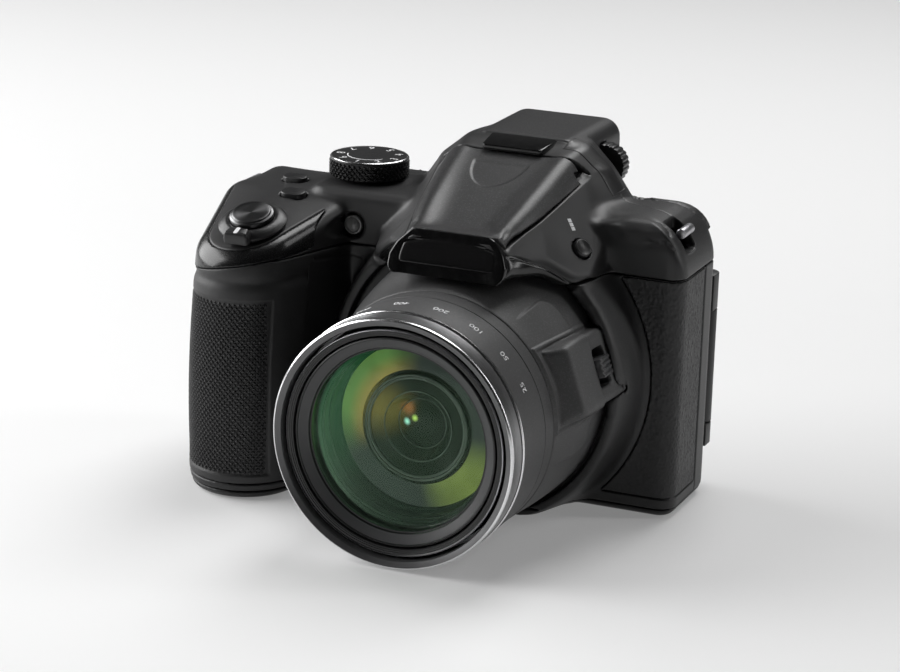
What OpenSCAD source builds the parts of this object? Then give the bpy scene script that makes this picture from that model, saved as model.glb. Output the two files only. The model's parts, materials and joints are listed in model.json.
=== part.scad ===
// Bridge camera with a long zoom lens, a pop-up flash and a swing-out monitor.
// The origin is the mouth of the tripod socket, below the lens axis. The lens looks along -Y.

/* [Body] */
// Right wall of the body, from the lens axis
body_right = 46.5; // [46:0.1:47.5]
// Front face of the body, ahead of the tripod socket
body_front = 12; // [11.5:0.1:12.6]
// Back face of the body, behind the tripod socket
body_back = 14.2; // [13.8:0.1:16]
// Height of the shoulders
shoulder_h = 71.9; // [71.5:0.1:72.8]
// Wall of the moulded shells
wall = 2; // [1.6:0.1:2.2]
// Thickness of the base plate
base_t = 2.2; // [2:0.1:2.6]
// Height of the seam below the top cover
top_split = 58.6; // [58:0.1:59.2]
// Seam between the front and rear shells
parting_y = 5.5; // [5.3:0.1:6.4]

/* [Grip] */
// Left edge of the hand grip, from the lens axis
grip_left = 74.5; // [74:0.5:76]
// Front of the hand grip, ahead of the tripod socket
grip_front = 47.6; // [47:0.2:49]
// Height of the top plate over the grip, above the tripod socket
grip_h = 71.8; // [71.4:0.1:72.4]
// Thickness of the grip rubber
rubber_t = 1.4; // [1:0.1:1.8]
// Thickness of the side pad
pad_t = 0.9; // [0.6:0.1:1.2]
// Thickness of the glossy trim
trim_t = 1.6; // [1.2:0.1:1.9]

/* [Lens] */
// Height of the lens axis
lens_z = 29.6; // [29.6:0.1:30.4]
// Outer radius of the fixed front ring
ring_r = 29.2; // [29:0.1:29.3]
// Front rim of the lens, ahead of the tripod socket
lens_front = 72.2; // [71:0.2:74]
// Joint between the front ring and the barrel cover
ring_back = 47; // [46:0.5:48]
// Bore of the fixed barrel
barrel_bore = 27.9; // [27.8:0.05:28.1]
// Wall of the rotating cam ring
cam_wall = 0.8; // [0.6:0.1:0.9]
// Wall of the moving barrels
barrel_wall = 1.8; // [1.5:0.1:1.9]
// Teeth on the cam ring
cam_teeth = 74; // [74:1:74]
// Teeth on the drive pinion
pinion_teeth = 9; // [9:1:9]
// Size of the gear teeth, as pitch diameter over the number of teeth
gear_module = 0.754; // [0.752:0.001:0.756]

/* [Viewfinder] */
// Half the width of the viewfinder block
evf_half = 14.3; // [13.8:0.1:15]
// Height of the viewfinder block
evf_top = 85.1; // [84.8:0.1:86]
// Back of the viewfinder block
evf_back = 33.2; // [31:0.2:35]
// Depth of the soft eyecup behind the viewfinder
eyecup_t = 2.8; // [2:0.2:4]
// Radius of the dioptre dial
dioptre_r = 5.2; // [4.8:0.1:5.6]

/* [Flash] */
// Height of the flash hinge
flash_hinge_z = 78.2; // [78:0.1:78.4]
// Distance of the flash hinge ahead of the tripod socket
flash_hinge_y = 5.6; // [5.4:0.1:5.8]
// Swing radius of the flash cover's front edge
flash_reach = 34.4; // [34.2:0.1:34.5]

/* [Monitor] */
// Width of the monitor, without its hinge arm
monitor_w = 68; // [64:0.5:69]
// Height of the monitor
monitor_h = 49; // [46:0.5:49.4]
// Thickness of the monitor
monitor_t = 5.8; // [5.6:0.1:6.6]
// Radius of the hinge barrel
hinge_r = 2.8; // [2.6:0.1:2.8]

/* [Controls] */
// Radius of the shutter button
shutter_r = 5.3; // [5:0.1:5.4]
// Outer radius of the zoom lever
lever_r = 8.2; // [7.8:0.1:8.4]
// Radius of the mode dial
dial_r = 9.8; // [9.3:0.1:10]
// Height of the mode dial
dial_h = 4.9; // [4.5:0.1:5.4]
// Radius of the command dial
command_r = 8.2; // [8.1:0.1:8.6]
// Outer radius of the multi selector
selector_r = 10.2; // [9.6:0.1:10.6]
// Radius of a small rear button
button_r = 2.7; // [2.4:0.1:3]
// How far a button stands proud
button_proud = 0.8; // [0.6:0.1:1]
// Travel of a button
press = 0.7; // [0.5:0.1:0.8]

/* [Base] */
// Radius of the tripod thread, quarter inch across
tripod_r = 3.175; // [3.175:0.01:4.8]
// Depth of the tripod thread
tripod_depth = 6; // [5:0.5:7]
// Width of the battery door
door_w = 15; // [14.5:0.1:15.2]
// Length of the battery door
door_l = 35.5; // [35.3:0.1:36]

/* [Fits] */
// Clearance round a moving piece
gap = 0.3; // [0.25:0.01:0.35]
// Clearance between fixed pieces that seat on each other
seam = 0.06; // [0.04:0.01:0.1]
// Radial clearance of a pin in its bore
pin_fit = 0.06; // [0.04:0.01:0.08]

/* [Hidden] */
$fn = 64;

// Number of points round each lofted outline
sides = 48;
// Far larger than the part, for half spaces
far = 200;
black = [0.11, 0.11, 0.115];
dark = [0.17, 0.17, 0.18];
rubber = [0.08, 0.08, 0.085];
gloss = [0.03, 0.03, 0.035];
steel = [0.62, 0.63, 0.65];
glass = [0.25, 0.4, 0.3];
green = [0.1, 0.35, 0.2];

// Outline that wraps a set of circles [x, y, r], drawn in by inset
function farthest(circles, a) =
    let (reach = [for (c = circles) c[0]*cos(a) + c[1]*sin(a) + c[2]])
    circles[search(max(reach), reach)[0]];
function outline(circles, inset = 0) =
    [for (k = [0:sides - 1])
        let (a = 360*k/sides, c = farthest(circles, a))
        [c[0] + (c[2] - inset)*cos(a), c[1] + (c[2] - inset)*sin(a)]];
function flat(points, z) = [for (p = points) [p[0], p[1], z]];
function upright(points, y, lean = 0, pivot = 0) = [for (p = points) [p[0], y + lean*(p[1] - pivot), p[1]]];
function mean(points) = [for (p = points) 1]*points/len(points);
function both_sides(x, z, r) = [[x - r, z, r], [r - x, z, r]];

// Solid through a stack of rings that have equal counts of points
module loft(rings) {
    n = len(rings[0]);
    m = len(rings);
    points = concat([for (r = rings) each r], [mean(rings[0]), mean(rings[m - 1])]);
    skin = [for (i = [0:m - 2], j = [0:n - 1])
        let (a = i*n + j, b = i*n + (j + 1)%n)
        each [[a, a + n, b + n], [a, b + n, b]]];
    first_cap = [for (j = [0:n - 1]) [m*n, j, (j + 1)%n]];
    last_cap = [for (j = [0:n - 1]) [m*n + 1, (m - 1)*n + (j + 1)%n, (m - 1)*n + j]];
    polyhedron(points, concat(skin, first_cap, last_cap));
}

module box(x0, x1, y0, y1, z0, z1) translate([x0, y0, z0]) cube([x1 - x0, y1 - y0, z1 - z0]);
module above(z) box(-far, far, -far, far, z, far);
module below(z) box(-far, far, -far, far, -far, z);
module ahead_of(y) box(-far, far, -far, y, -far, far);
module behind(y) box(-far, far, y, far, -far, far);

// The children's Z axis lies along the lens axis and points forward
module on_lens_axis() translate([0, 0, lens_z]) rotate([90, 0, 0]) children();
module tube(r_out, r_in, from, to) {
    translate([0, 0, from]) difference() {
        cylinder(r = r_out, h = to - from);
        translate([0, 0, -1]) cylinder(r = r_in, h = to - from + 2);
    }
}
module disc(r, from, to) translate([0, 0, from]) cylinder(r = r, h = to - from);
// The children's Z axis points along n, from the point p
module aimed(p, n) translate(p) rotate([0, acos(n[2]/norm(n)), atan2(n[1], n[0])]) children();
// The children's Z axis points backward from the back face of the body
module on_back(x, z) translate([x, body_back, z]) rotate([-90, 0, 0]) children();
module rounded_plate(x0, x1, z0, z1, r, y0, y1) {
    translate([0, y1, 0]) rotate([90, 0, 0]) linear_extrude(height = y1 - y0) hull()
        for (x = [x0 + r, x1 - r], z = [z0 + r, z1 - r]) translate([x, z]) circle(r = r, $fn = 32);
}

// Main box of the body, with shoulders that fall away to the right
edge_r = 4.2;
block_left = -66;
block_plan = [[body_right - edge_r, edge_r - body_front, edge_r], [body_right - 3.6, body_back - 3.6, 3.6],
    [block_left, edge_r - body_front, edge_r], [block_left, body_back - 3.6, 3.6]];
shoulder_flat = 33;
shoulder_fall = 9.4;
function crown(x) =
    shoulder_h - shoulder_fall*pow(max(0, x - shoulder_flat)/(body_right - shoulder_flat), 3);
shoulder_round = 3.4;
left_step = -30;
left_step_h = 64;
// Space below the shoulder line, which steps down at the left, under the grip's top plate
module below_shoulders() {
    fall = [for (x = [shoulder_flat:1:body_right]) [x, crown(x)]];
    translate([0, far, 0]) rotate([90, 0, 0]) linear_extrude(height = 2*far) polygon(concat(
        [[-far, -1], [-far, left_step_h], [left_step, left_step_h], [left_step, shoulder_h]], fall,
        [[body_right, crown(body_right)], [far, crown(body_right)], [far, -1]]));
}
module body_block(s = 0) {
    top_r = shoulder_round - min(s, 2.6);
    intersection() {
        loft(concat(
            [flat(outline(block_plan, 2.4 + s/3), s), flat(outline(block_plan, 0.8 + s), max(s, 0.8)),
                flat(outline(block_plan, s), 2.4 + s)],
            [for (t = [0:22.5:90])
                flat(outline(block_plan, s + top_r*(1 - cos(t))), shoulder_h - s - top_r*(1 - sin(t)))]));
        translate([-s, 0, -s]) below_shoulders();
    }
}

// Hand grip and the top plate over it, which leans forward in a curve
pod_plan = [[-54.6, 14 - grip_front, 14], [11 - grip_left, -9, 11],
    [8.5 - grip_left, body_back - 7.1, 6.5], [-38, -4, 7]];
pod_lean = 0.07;
pod_curve = 230;
pod_fall = 0.028;
pod_middle = [-56, -18];
function pod_top(x, y) =
    grip_h + (y > 0 ? -pod_fall*y*y : pod_lean*y - y*y/pod_curve) - 0.008*pow(min(0, x + 50), 2);
// Insets of the grip at rising heights, from its foot to its rim
pod_sides = [[0, 3], [0.8, 1.4], [2.6, 0.7], [10, 0.3], [24, 0], [38, 0.3], [47, 0.8], [53.5, 1.2]];
pod_round = 3.4;
pod_rim = 1.5;
module pod(s = 0, drop = 0) {
    top_r = max(0.6, pod_round - s);
    top_rings = [for (t = [0:22.5:90]) outline(pod_plan, s + pod_rim + top_r*(1 - cos(t)))];
    rim = outline(pod_plan, s + pod_rim + top_r);
    loft(concat(
        [for (r = pod_sides) flat(outline(pod_plan, r[1] + s), r[0] == 0 ? s : max(r[0], s + r[0]/3))],
        [for (i = [0:4]) [for (p = top_rings[i])
            [p[0], p[1], pod_top(p[0], p[1]) - drop - top_r*(1 - sin(22.5*i))]]],
        [for (f = [0.75, 0.5, 0.25]) [for (p = rim)
            let (q = pod_middle + f*(p - pod_middle)) [q[0], q[1], pod_top(q[0], q[1]) - drop]]]));
}

// Block that carries the mode dial, with the focus lamp on its front
island_front = 17;
island_h = 71.4;
island_plan = [[-43, 5 - island_front, 5], [-20, 5 - island_front, 5], [-20, 8, 5], [-43, 8, 5]];
module island(s = 0) {
    r = 2.4;
    loft(concat([flat(outline(island_plan, s), 30)],
        [for (t = [0:22.5:90])
            flat(outline(island_plan, s + r*(1 - cos(t))), island_h - s - r*(1 - sin(t)))]));
}

// Hump over the lens. Each station holds y, lean, then half width and height of the roof edge, of the
// shoulder line, of the foot, and last the height of the underside.
hump_stations = [
    [13, 0, 15.5, 84.2, 20.5, 79, 26, 71.2, 57],
    [6, 0, 16.8, 84, 22, 79.4, 27, 71.6, 57],
    [-4, 0, 15.4, 82.3, 19.8, 78.1, 26, 69.2, 57],
    [-14, 0, 13.8, 78.9, 18.4, 75, 27.4, 65.5, 57],
    [-24, 0.1, 13, 75.5, 16.8, 72.4, 26, 61.5, 57],
    [-31, 0.3, 12.4, 73.2, 15.6, 70.4, 19.5, 65.6, 64],
    [-38, 0.5, 11.9, 70.9, 14.6, 68.4, 15.4, 66, 64.2],
    [-42.6, 0.52, 11.6, 71, 13.4, 69, 14.2, 65.6, 64.2]];
lean_pivot = 66;
module hump(s = 0) {
    loft([for (i = [0:len(hump_stations) - 1])
        let (h = hump_stations[i], end = (i == 0) ? -s : (i == len(hump_stations) - 1) ? s : 0)
        upright(outline(concat(both_sides(h[2], h[3] - 3, 3), both_sides(h[4], h[5] - 2.6, 2.6),
            both_sides(h[6], h[7] - 2.2, 2.2), both_sides(h[6], h[8] + 0.8, 0.8)), min(s, 0.7)),
            h[0] + end, h[1], lean_pivot)]);
}

// Collar round the lens, cut flat at the base
collar_z = lens_z + 3.4;
collar_stations = [[-4, 39.2], [-12, 39.2], [-13, 38.6], [-15, 38.1], [-19, 37.4], [-23, 36.7], [-25, 36]];
module collar() {
    intersection() {
        loft([for (c = collar_stations) upright(outline([[0, collar_z, c[1]]]), c[0])]);
        above(0);
    }
}

// Viewfinder block behind the hump
evf_floor = 60.4;
evf_stations = [[evf_back, 0.9], [evf_back - 1, 0], [4, 0]];
module evf_block() {
    loft([for (e = evf_stations)
        upright(outline(concat(both_sides(evf_half, evf_top - 4.4, 4.4),
            both_sides(evf_half, evf_floor + 2, 2)),
            e[1]), e[0])]);
}

module outer_form() {
    body_block();
    pod();
    island();
    hump();
    collar();
    evf_block();
}

// Plane below the flash cover, which rises toward the back
flash_low_y = -38.5;
flash_low_z = 68.3;
flash_rise = 15.1;
flash_back = -3.8;
flash_foot = 1.2;
module above_flash_plane(shift = 0) {
    translate([0, flash_low_y, flash_low_z + shift]) rotate([flash_rise, 0, 0]) box(-60, 60, -20, 60, 0, 60);
}
module flash_axis() translate([0, -flash_hinge_y, flash_hinge_z]) rotate([0, 90, 0]) children();
module flash_sweep(grow = 0) flash_axis() cylinder(r = flash_reach + grow, h = 80, center = true);
// Space that the flash cover fills, with its rear foot cut away so that it can swing
module flash_zone(clear = 0) {
    intersection() {
        above_flash_plane(-clear);
        ahead_of(flash_back + clear);
        flash_sweep(clear);
    }
}
flash_block_half = 11;
flash_block_floor = 66;
flash_block_back = -25;
module flash_block(clear = 0) {
    intersection() {
        box(-flash_block_half - clear, flash_block_half + clear, -far, flash_block_back + clear,
            flash_block_floor - clear, flash_block_floor + 5.4);
        flash_sweep(clear - 0.5);
    }
}

// Spaces inside the shells
lens_room_r = 28.9;
flare_back = 22;
flare_room_r = 33.8;
flare_room_z = lens_z + 3;
lens_wall_back = -body_front + wall + 0.2;
module evf_room() box(-evf_half + 3.5, evf_half - 3.5, 4, far, evf_floor + 5.6, evf_top - 3.3);
module hollow() {
    body_block(wall);
    pod(rubber_t + wall, wall);
    island(wall);
    intersection() {
        hump(wall);
        behind(-20);
        ahead_of(11);
        translate([0, 0, -gap - wall]) difference() {
            below(far);
            above_flash_plane();
        }
    }
    evf_room();
}
module lens_room() {
    on_lens_axis() {
        disc(lens_room_r, -lens_wall_back, flare_back + 0.01);
        translate([motor_at[0], motor_at[1], 0])
            disc(pinion_r + gear_module + gap, -lens_wall_back, gear_front + 0.5);
    }
}
module flare_room() {
    translate([0, -flare_back, flare_room_z]) rotate([90, 0, 0]) cylinder(r = flare_room_r, h = 12);
}

// Barrel cover, which widens backward, with the plinth of the side zoom switch
flare_stations = [[-flare_back - seam, 0.6, 2.9, 32.2], [-34, 0.6, 1.9, 31.2], [-42, 0.2, 0.6, 29.9],
    [-ring_back, 0, 0, ring_r + 0.1]];
module flare(grow = 0, forward = 0) {
    loft([for (f = flare_stations)
        upright(outline([[f[1], lens_z + f[2], f[3] + grow]]), f[0] - (f[0] == -ring_back ? forward : 0))]);
}
plinth_tilt = 19;
plinth_half = 9;
plinth_front = 45;
plinth_back = 19.4;
plinth_top = 35.4;
// The children's X axis points out of the plinth, Y runs round the barrel and Z points forward
module on_plinth() on_lens_axis() rotate([0, 0, plinth_tilt]) children();
module plinth(grow = 0) {
    on_plinth() hull() {
        for (side = [-1, 1]) {
            translate([27, side*plinth_half, plinth_back]) cube(2*grow + 0.02, center = true);
            translate([27, side*plinth_half, plinth_front]) cube(2*grow + 0.02, center = true);
            translate([plinth_top, side*(plinth_half - 1.4), plinth_back]) sphere(r = 1 + grow, $fn = 24);
            translate([plinth_top - 2.4, side*(plinth_half - 1.6), plinth_front - 3.6])
                sphere(r = 1 + grow, $fn = 24);
        }
    }
}
switch_half = 2.2;
switch_travel = 2;
switch_mid = 29;
switch_len = 5.6;
switch_floor = 31.6;
module switch_room() {
    on_plinth()
        translate([switch_floor, -switch_half - switch_travel - gap, switch_mid - switch_len/2 - gap])
        cube([10, 2*(switch_half + switch_travel + gap), switch_len + 2*gap]);
}

// Skins that wrap the grip and the right side
trim_slope = 11.3;
trim_pivot = -50;
trim_h = top_split - 0.9;
trim_drop = 7.7;
module above_trim_line(shift = 0) {
    translate([trim_pivot, 0, trim_h + shift]) rotate([0, -trim_slope, 0]) box(-far, far, -far, far, 0, far);
}
rubber_back = -6;
rubber_right = -40.5;
module rubber_zone(clear = 0) {
    difference() {
        box(-far, rubber_right + clear, -far, rubber_back + clear,
            base_t + 2 - clear, top_split - 0.1 + clear);
        above_trim_line(-0.1 + clear);
    }
}
trim_back = -3;
plateau_inset = 4.6;
module trim_zone(clear = 0) {
    difference() {
        intersection() {
            above_trim_line(-clear);
            box(-far, rubber_right + clear, -far, trim_back + clear, 0, far);
        }
        translate([0, 0, 40]) linear_extrude(height = 60) polygon(outline(pod_plan, plateau_inset + clear));
    }
}
pad_back = parting_y - 0.5;
pad_low = 5;
module pad_zone(clear = 0) {
    difference() {
        box(20, far, -far, pad_back + clear, pad_low - clear, top_split - 0.4 + clear);
        translate([0, 0, collar_z]) rotate([90, 0, 0]) cylinder(r = 39.9 - clear, h = far, center = true);
    }
}
module rubber_skin() {
    intersection() {
        difference() {
            pod();
            pod(rubber_t);
        }
        rubber_zone();
    }
}
module rubber_seat() {
    difference() {
        rubber_zone(seam);
        pod(rubber_t + seam);
    }
}
module trim_skin() {
    intersection() {
        difference() {
            pod();
            pod(trim_t, trim_t);
        }
        trim_zone();
    }
}
module trim_seat() {
    difference() {
        trim_zone(seam);
        pod(trim_t + seam, trim_t + seam);
    }
}
module pad_skin() {
    intersection() {
        difference() {
            body_block();
            body_block(pad_t);
        }
        pad_zone();
    }
}
module pad_seat() {
    difference() {
        pad_zone(seam);
        body_block(pad_t + seam);
    }
}
// Slanted slab at the front of the hump
slab_at = [0, -43.6, 64.2];
slab_lean = 27.5;
slab_half = 15;
slab_front = 3;
slab_back = 1.5;
slab_low = 5;
slab_high = 12;
module nameplate_zone(clear = 0) {
    translate(slab_at) rotate([-slab_lean, 0, 0])
        box(-slab_half - clear, slab_half + clear, -slab_front, slab_back + clear, -slab_low, slab_high);
}

// Places of the controls
shutter_at = [-53.5, -33.5];
shutter_lean = 19;
module on_shutter() {
    translate([shutter_at[0], shutter_at[1], pod_top(shutter_at[0], shutter_at[1])])
        rotate([shutter_lean, 0, 0]) children();
}
dial_at = [-37.8, -2];
dial_clear = 0.7;
module on_dial() translate([dial_at[0], dial_at[1], island_h + dial_clear]) children();
power_at = [-54, -9.5];
function_at = [-50.5, -18];
module on_pod(place) {
    slope = atan(pod_lean - 2*place[1]/pod_curve);
    translate([place[0], place[1], pod_top(place[0], place[1])]) rotate([slope, 0, 0]) children();
}
module oval(r, length, from, to) {
    hull() for (side = [-1, 1]) translate([side*length/2, 0, from]) cylinder(r = r, h = to - from, $fn = 32);
}
flash_button_at = [24, -19, 65.6];
flash_button_aim = [0.72, -0.33, 0.61];
flash_button_r = 2.3;
command_at = [-57, body_back + 1.2 - command_r];
command_z = 61.6;
command_h = 3.4;
selector_at = [-51, 31];
// Rear buttons: play, menu, delete and display stand round the multi selector, movie above it
rear_places = [[-38.5, 45], [-38.5, 17], [-62, 17], [-62, 45], [-46, top_split - 6.1]];
movie_grow = 0.5;
dioptre_at = [evf_half + 1, 20, 76.4];
dioptre_t = 4.2;
lamp_at = [-35.3, 63.1];
lamp_r = 2.4;

// Strap lug pockets at the two upper corners
lug_len = 7;
right_lug = [43.6, -3, 68.6];
left_lug = [-70.8, 2, 65.6];
module rounded_slot(x, y, z) {
    hull() for (sy = [-1, 1], sz = [-1, 1]) translate([0, sy*(y/2 - 1), sz*(z/2 - 1)]) rotate([0, 90, 0])
        cylinder(r = 1, h = x, center = true, $fn = 16);
}
module lug_pocket(place, side) {
    translate(place) {
        translate([-side*2.4, 0, 0]) rounded_slot(4, lug_len, 10);
        translate([side*1.4, 0, -1.5]) rounded_slot(8, lug_len, 6.4);
    }
}

// Moving barrels, from the outside in
cam_out = barrel_bore - gap;
cam_in = cam_out - cam_wall;
stage_one_out = cam_in - gap;
stage_one_in = stage_one_out - barrel_wall;
stage_two_out = stage_one_in - gap;
stage_two_in = stage_two_out - barrel_wall;
stage_one_front = lens_front - 1.2;
stage_two_front = lens_front - 1.8;
stage_one_back = 20;
stage_two_back = 27;
front_glass_r = 21.4;
front_glass_edge = stage_two_front - 2.2;
second_glass_r = 19.6;
second_glass_at = 51;
// Rear tube of the lens, on the base plate
plate_front = -lens_wall_back - seam;
plate_t = 2;
rear_tube_r = 17.5;
rear_tube_bore = 15.5;
rear_tube_front = stage_two_back + 1;
gear_front = 16.4;
gear_back = 12.8;
gear_lap = 0.1;
gear_r = gear_module*cam_teeth/2;
pinion_r = gear_module*pinion_teeth/2;
motor_turn = 45;
motor_at = (gear_r + pinion_r)*[cos(motor_turn), sin(motor_turn)];
motor_r = 5.2;
module gear(teeth, h, turn) {
    pitch = 360/teeth;
    r = gear_module*teeth/2;
    root = r - 0.9*gear_module;
    tip = r + 0.6*gear_module;
    tooth = [[-0.23, root], [-0.08, tip], [0.08, tip], [0.23, root]];
    linear_extrude(height = h) polygon([for (i = [0:teeth - 1], p = tooth)
        let (a = turn + (i + p[0])*pitch) p[1]*[cos(a), sin(a)]]);
}
// Turned glass with two domed faces. The front dome's rim is at edge, the back dome's apex thick behind it.
function dome(r, curve) = curve - sqrt(curve*curve - r*r);
module lens_glass(r, edge, thick, front_curve, back_curve) {
    steps = [0:8];
    front = [for (i = steps) [r*i/8, edge + dome(r, front_curve) - dome(r*i/8, front_curve)]];
    back = [for (i = steps) [r*(8 - i)/8, edge - thick + dome(r*(8 - i)/8, back_curve)]];
    rotate_extrude($fn = 128) polygon(concat(front, back));
}

// Monitor and its hinge
monitor_y = body_back + 0.4;
monitor_right = body_right - 7.3;
monitor_left = monitor_right - monitor_w;
monitor_low = 8;
hinge_x = body_right - 3.3;
hinge_y = monitor_y + 0.1 + hinge_r;
arm_low = 16.4;
arm_high = 44.6;
hinge_low = 10.7;
hinge_high = 53.8;
hinge_pin_r = 1.2;
twist_z = (arm_low + arm_high)/2;
twist_r = 2;

// Battery door and its hinge
door_left = -63.3;
door_right = door_left + door_w;
door_front = -37.5;
door_hinge_x = door_right + 1.1;
door_hinge_z = 1.2;
battery_size = [9.5, 33.6, 45];
battery_at = [-62.2, -36.6, base_t + gap];
card_size = [2.1, 24, 32];
// Connector door on the left wall
jack_front = -4.4;
jack_back = 3.2;
jack_low = 15;
jack_high = 44;
jack_hinge = [-grip_left + 2.2, 4.1];
jack_hinge_r = 0.75;

module button_hole(r) translate([0, 0, -4]) cylinder(r = r + gap, h = 8);
flange_t = 0.7;
flange_grow = 0.9;
module press_button(r) {
    disc(r, -wall - seam - flange_t, button_proud);
    disc(r + flange_grow, -wall - seam - flange_t, -wall - seam);
}
screw_places = [[38, 8], [38, -6], [-22, 9], [-30, -6]];
screw_r = 1.9;
shank_r = 0.9;

module front_shell() {
    color(black) difference() {
        intersection() {
            union() {
                body_block();
                pod();
                island();
                collar();
            }
            ahead_of(parting_y - seam/2);
            above(base_t + seam/2);
            below(top_split - seam/2);
        }
        body_block(wall);
        pod(rubber_t + wall, wall);
        island(wall);
        lens_room();
        flare_room();
        above_trim_line();
        rubber_seat();
        pad_seat();
        plinth(seam);
        lamp_hole();
        flash_button_hole();
        connector_opening();
        battery_bay();
        switch_room();
    }
}
module battery_bay() {
    box(battery_at[0] - gap, battery_at[0] + battery_size[0] + card_size[0] + 2*gap, battery_at[1] - gap,
        battery_at[1] + battery_size[1] + gap, 0, 8);
}
module flash_button_hole() aimed(flash_button_at, flash_button_aim) button_hole(flash_button_r);
module lamp_hole() {
    translate([lamp_at[0], 0, lamp_at[1]]) rotate([90, 0, 0]) cylinder(r = lamp_r + seam, h = far);
}
module connector_opening() {
    box(-far, -grip_left + 6, jack_front - gap, jack_back + 1.8, jack_low - gap, jack_high + gap);
}

module top_cover() {
    color(black) {
        difference() {
            intersection() {
                outer_form();
                union() {
                    above(top_split + seam/2);
                    intersection() {
                        above_trim_line(seam);
                        box(-far, rubber_right + 4, -far, far, trim_h - trim_drop, far);
                    }
                }
            }
            hollow();
            flare(1.6, 20);
            flash_zone(gap);
            hull() {
                translate([0, 0, 3]) flash_block(gap);
                flash_block(gap);
            }
            intersection() {
                above_flash_plane(-gap);
                flash_axis() cylinder(r = 4.6, h = 60, center = true);
            }
            trim_seat();
            nameplate_zone(seam);
            lamp_hole();
            on_shutter() disc(3 + gap, -12, 6);
            on_dial() disc(3.4 + gap, -12, 6);
            for (place = [power_at, function_at]) on_pod(place) oval(1.9 + gap, 2.4, -8, 4);
            flash_button_hole();
            lens_room();
            translate([command_at[0], command_at[1], 0])
                disc(command_r + gap, command_z - gap, command_z + command_h + gap);
            lug_pocket(right_lug, 1);
            lug_pocket(left_lug, -1);
            translate(dioptre_at) rotate([90, 0, 0])
                cylinder(r = dioptre_r + gap, h = dioptre_t + 2*gap, center = true);
        }
        flash_lugs();
    }
}
lug_half = 7;
lug_t = 1.6;
lug_r = 1.25;
lug_stem = 3.5;
flash_pin_r = 0.8;
module flash_lugs() {
    for (side = [-1, 1]) difference() {
        union() {
            translate([side*lug_half, 0, 0]) flash_axis()
                cylinder(r = lug_r, h = lug_t, center = true, $fn = 32);
            translate([side*lug_half, -flash_hinge_y, flash_hinge_z - lug_stem/2])
                cube([lug_t, 1.8*lug_r, lug_stem], center = true);
        }
        flash_axis() cylinder(r = flash_pin_r + pin_fit, h = 60, center = true);
    }
}

module rear_shell() {
    color(black) difference() {
        intersection() {
            union() {
                body_block();
                pod();
            }
            behind(parting_y + seam/2);
            above(base_t + seam/2);
            below(top_split - seam/2);
        }
        body_block(wall);
        pod(rubber_t + wall, wall);
        above_trim_line();
        on_back(selector_at[0], selector_at[1]) disc(selector_r + gap, -1.3, 4);
        for (p = rear_places) on_back(p[0], p[1])
            button_hole(p == rear_places[4] ? button_r + movie_grow : button_r);
    }
}

module base_plate() {
    color(black) difference() {
        intersection() {
            union() {
                body_block();
                pod();
                collar();
            }
            below(base_t - seam/2);
        }
        lens_room();
        flare_room();
        cylinder(r = 5 + seam, h = 20, center = true);
        box(door_left - gap, door_hinge_x + 1.1 + gap, door_front - gap, door_front + door_l + gap, -1, 6);
        for (p = screw_places) translate([p[0], p[1], 0]) {
            disc(screw_r + seam, -1, 1.2);
            disc(shank_r + seam, -1, 6);
        }
    }
}

module grip_rubber() color(rubber) rubber_skin();
module side_pad() color(rubber) pad_skin();
module shutter_trim() color(gloss) trim_skin();
module nameplate() {
    color(gloss) difference() {
        intersection() {
            hump();
            nameplate_zone(0);
        }
        flash_zone(gap);
    }
}
antenna_low = 82.7;
module antenna_cover() {
    color(dark) difference() {
        hull() for (x = [-6.6, 6.6]) {
            translate([x, -3.9, antenna_low]) cylinder(r = 1, h = 1.2, $fn = 32);
            translate([x*1.12, 4.4, antenna_low]) cylinder(r = 1, h = 2.1, $fn = 32);
        }
        antenna_seat();
    }
}
// The hump's roof, lifted by a seam, which the antenna cover stands on
module antenna_seat() {
    translate([0, 0, seam]) intersection() {
        hump();
        behind(flash_back + gap + seam);
    }
    translate([0, -seam, seam]) evf_block();
}

module barrel_cover() {
    color(black) difference() {
        union() {
            flare();
            plinth();
        }
        on_lens_axis() disc(barrel_bore, 0, 80);
        switch_room();
    }
}

module lens_ring() {
    bead = ring_r + 0.25;
    color(black) on_lens_axis() rotate_extrude($fn = 128) polygon([
        [barrel_bore, ring_back + seam], [ring_r, ring_back + seam], [ring_r, lens_front - 7.8],
        [bead, lens_front - 6.9], [bead, lens_front - 5.9], [ring_r - 0.1, lens_front - 5.4],
        [ring_r - 0.1, lens_front - 0.6], [ring_r - 0.5, lens_front], [ring_r - 1.1, lens_front],
        [barrel_bore, lens_front - 0.9]]);
}

eyecup_mid = (evf_floor + evf_top)/2 + 1;
module eyecup() {
    room = evf_half - 3.5 - seam;
    color(rubber) difference() {
        union() {
            rounded_plate(-13, 13, eyecup_mid - 9.4, eyecup_mid + 9.4, 4,
                evf_back + seam, evf_back + eyecup_t);
            box(-room, room, evf_back - 3.6, evf_back + 1, evf_floor + 5.6 + seam, evf_top - 3.3 - seam);
        }
        rounded_plate(-8.6, 8.6, eyecup_mid - 5.8, eyecup_mid + 5.8, 2.5, 0, 60);
    }
}
module evf_insert(y0, y1) {
    room = evf_half - 3.5 - gap;
    box(-room, room, y0, y1, evf_floor + 5.6 + gap, evf_top - 3.3 - gap);
}
module eyepiece_lens() color(glass) evf_insert(evf_back - 6.4, evf_back - 3.6 - seam);
module evf_display() color(gloss) evf_insert(8, 11);

module strap_lugs() {
    color(steel) for (place = [right_lug, left_lug])
        translate(place) rotate([90, 0, 0]) cylinder(r = 1.2, h = lug_len - 2*seam, center = true);
}

module focus_lamp() {
    color([0.75, 0.72, 0.65]) translate([lamp_at[0], -island_front - 0.2, lamp_at[1]]) rotate([-90, 0, 0])
        cylinder(r = lamp_r, h = 3.4);
}

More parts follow.
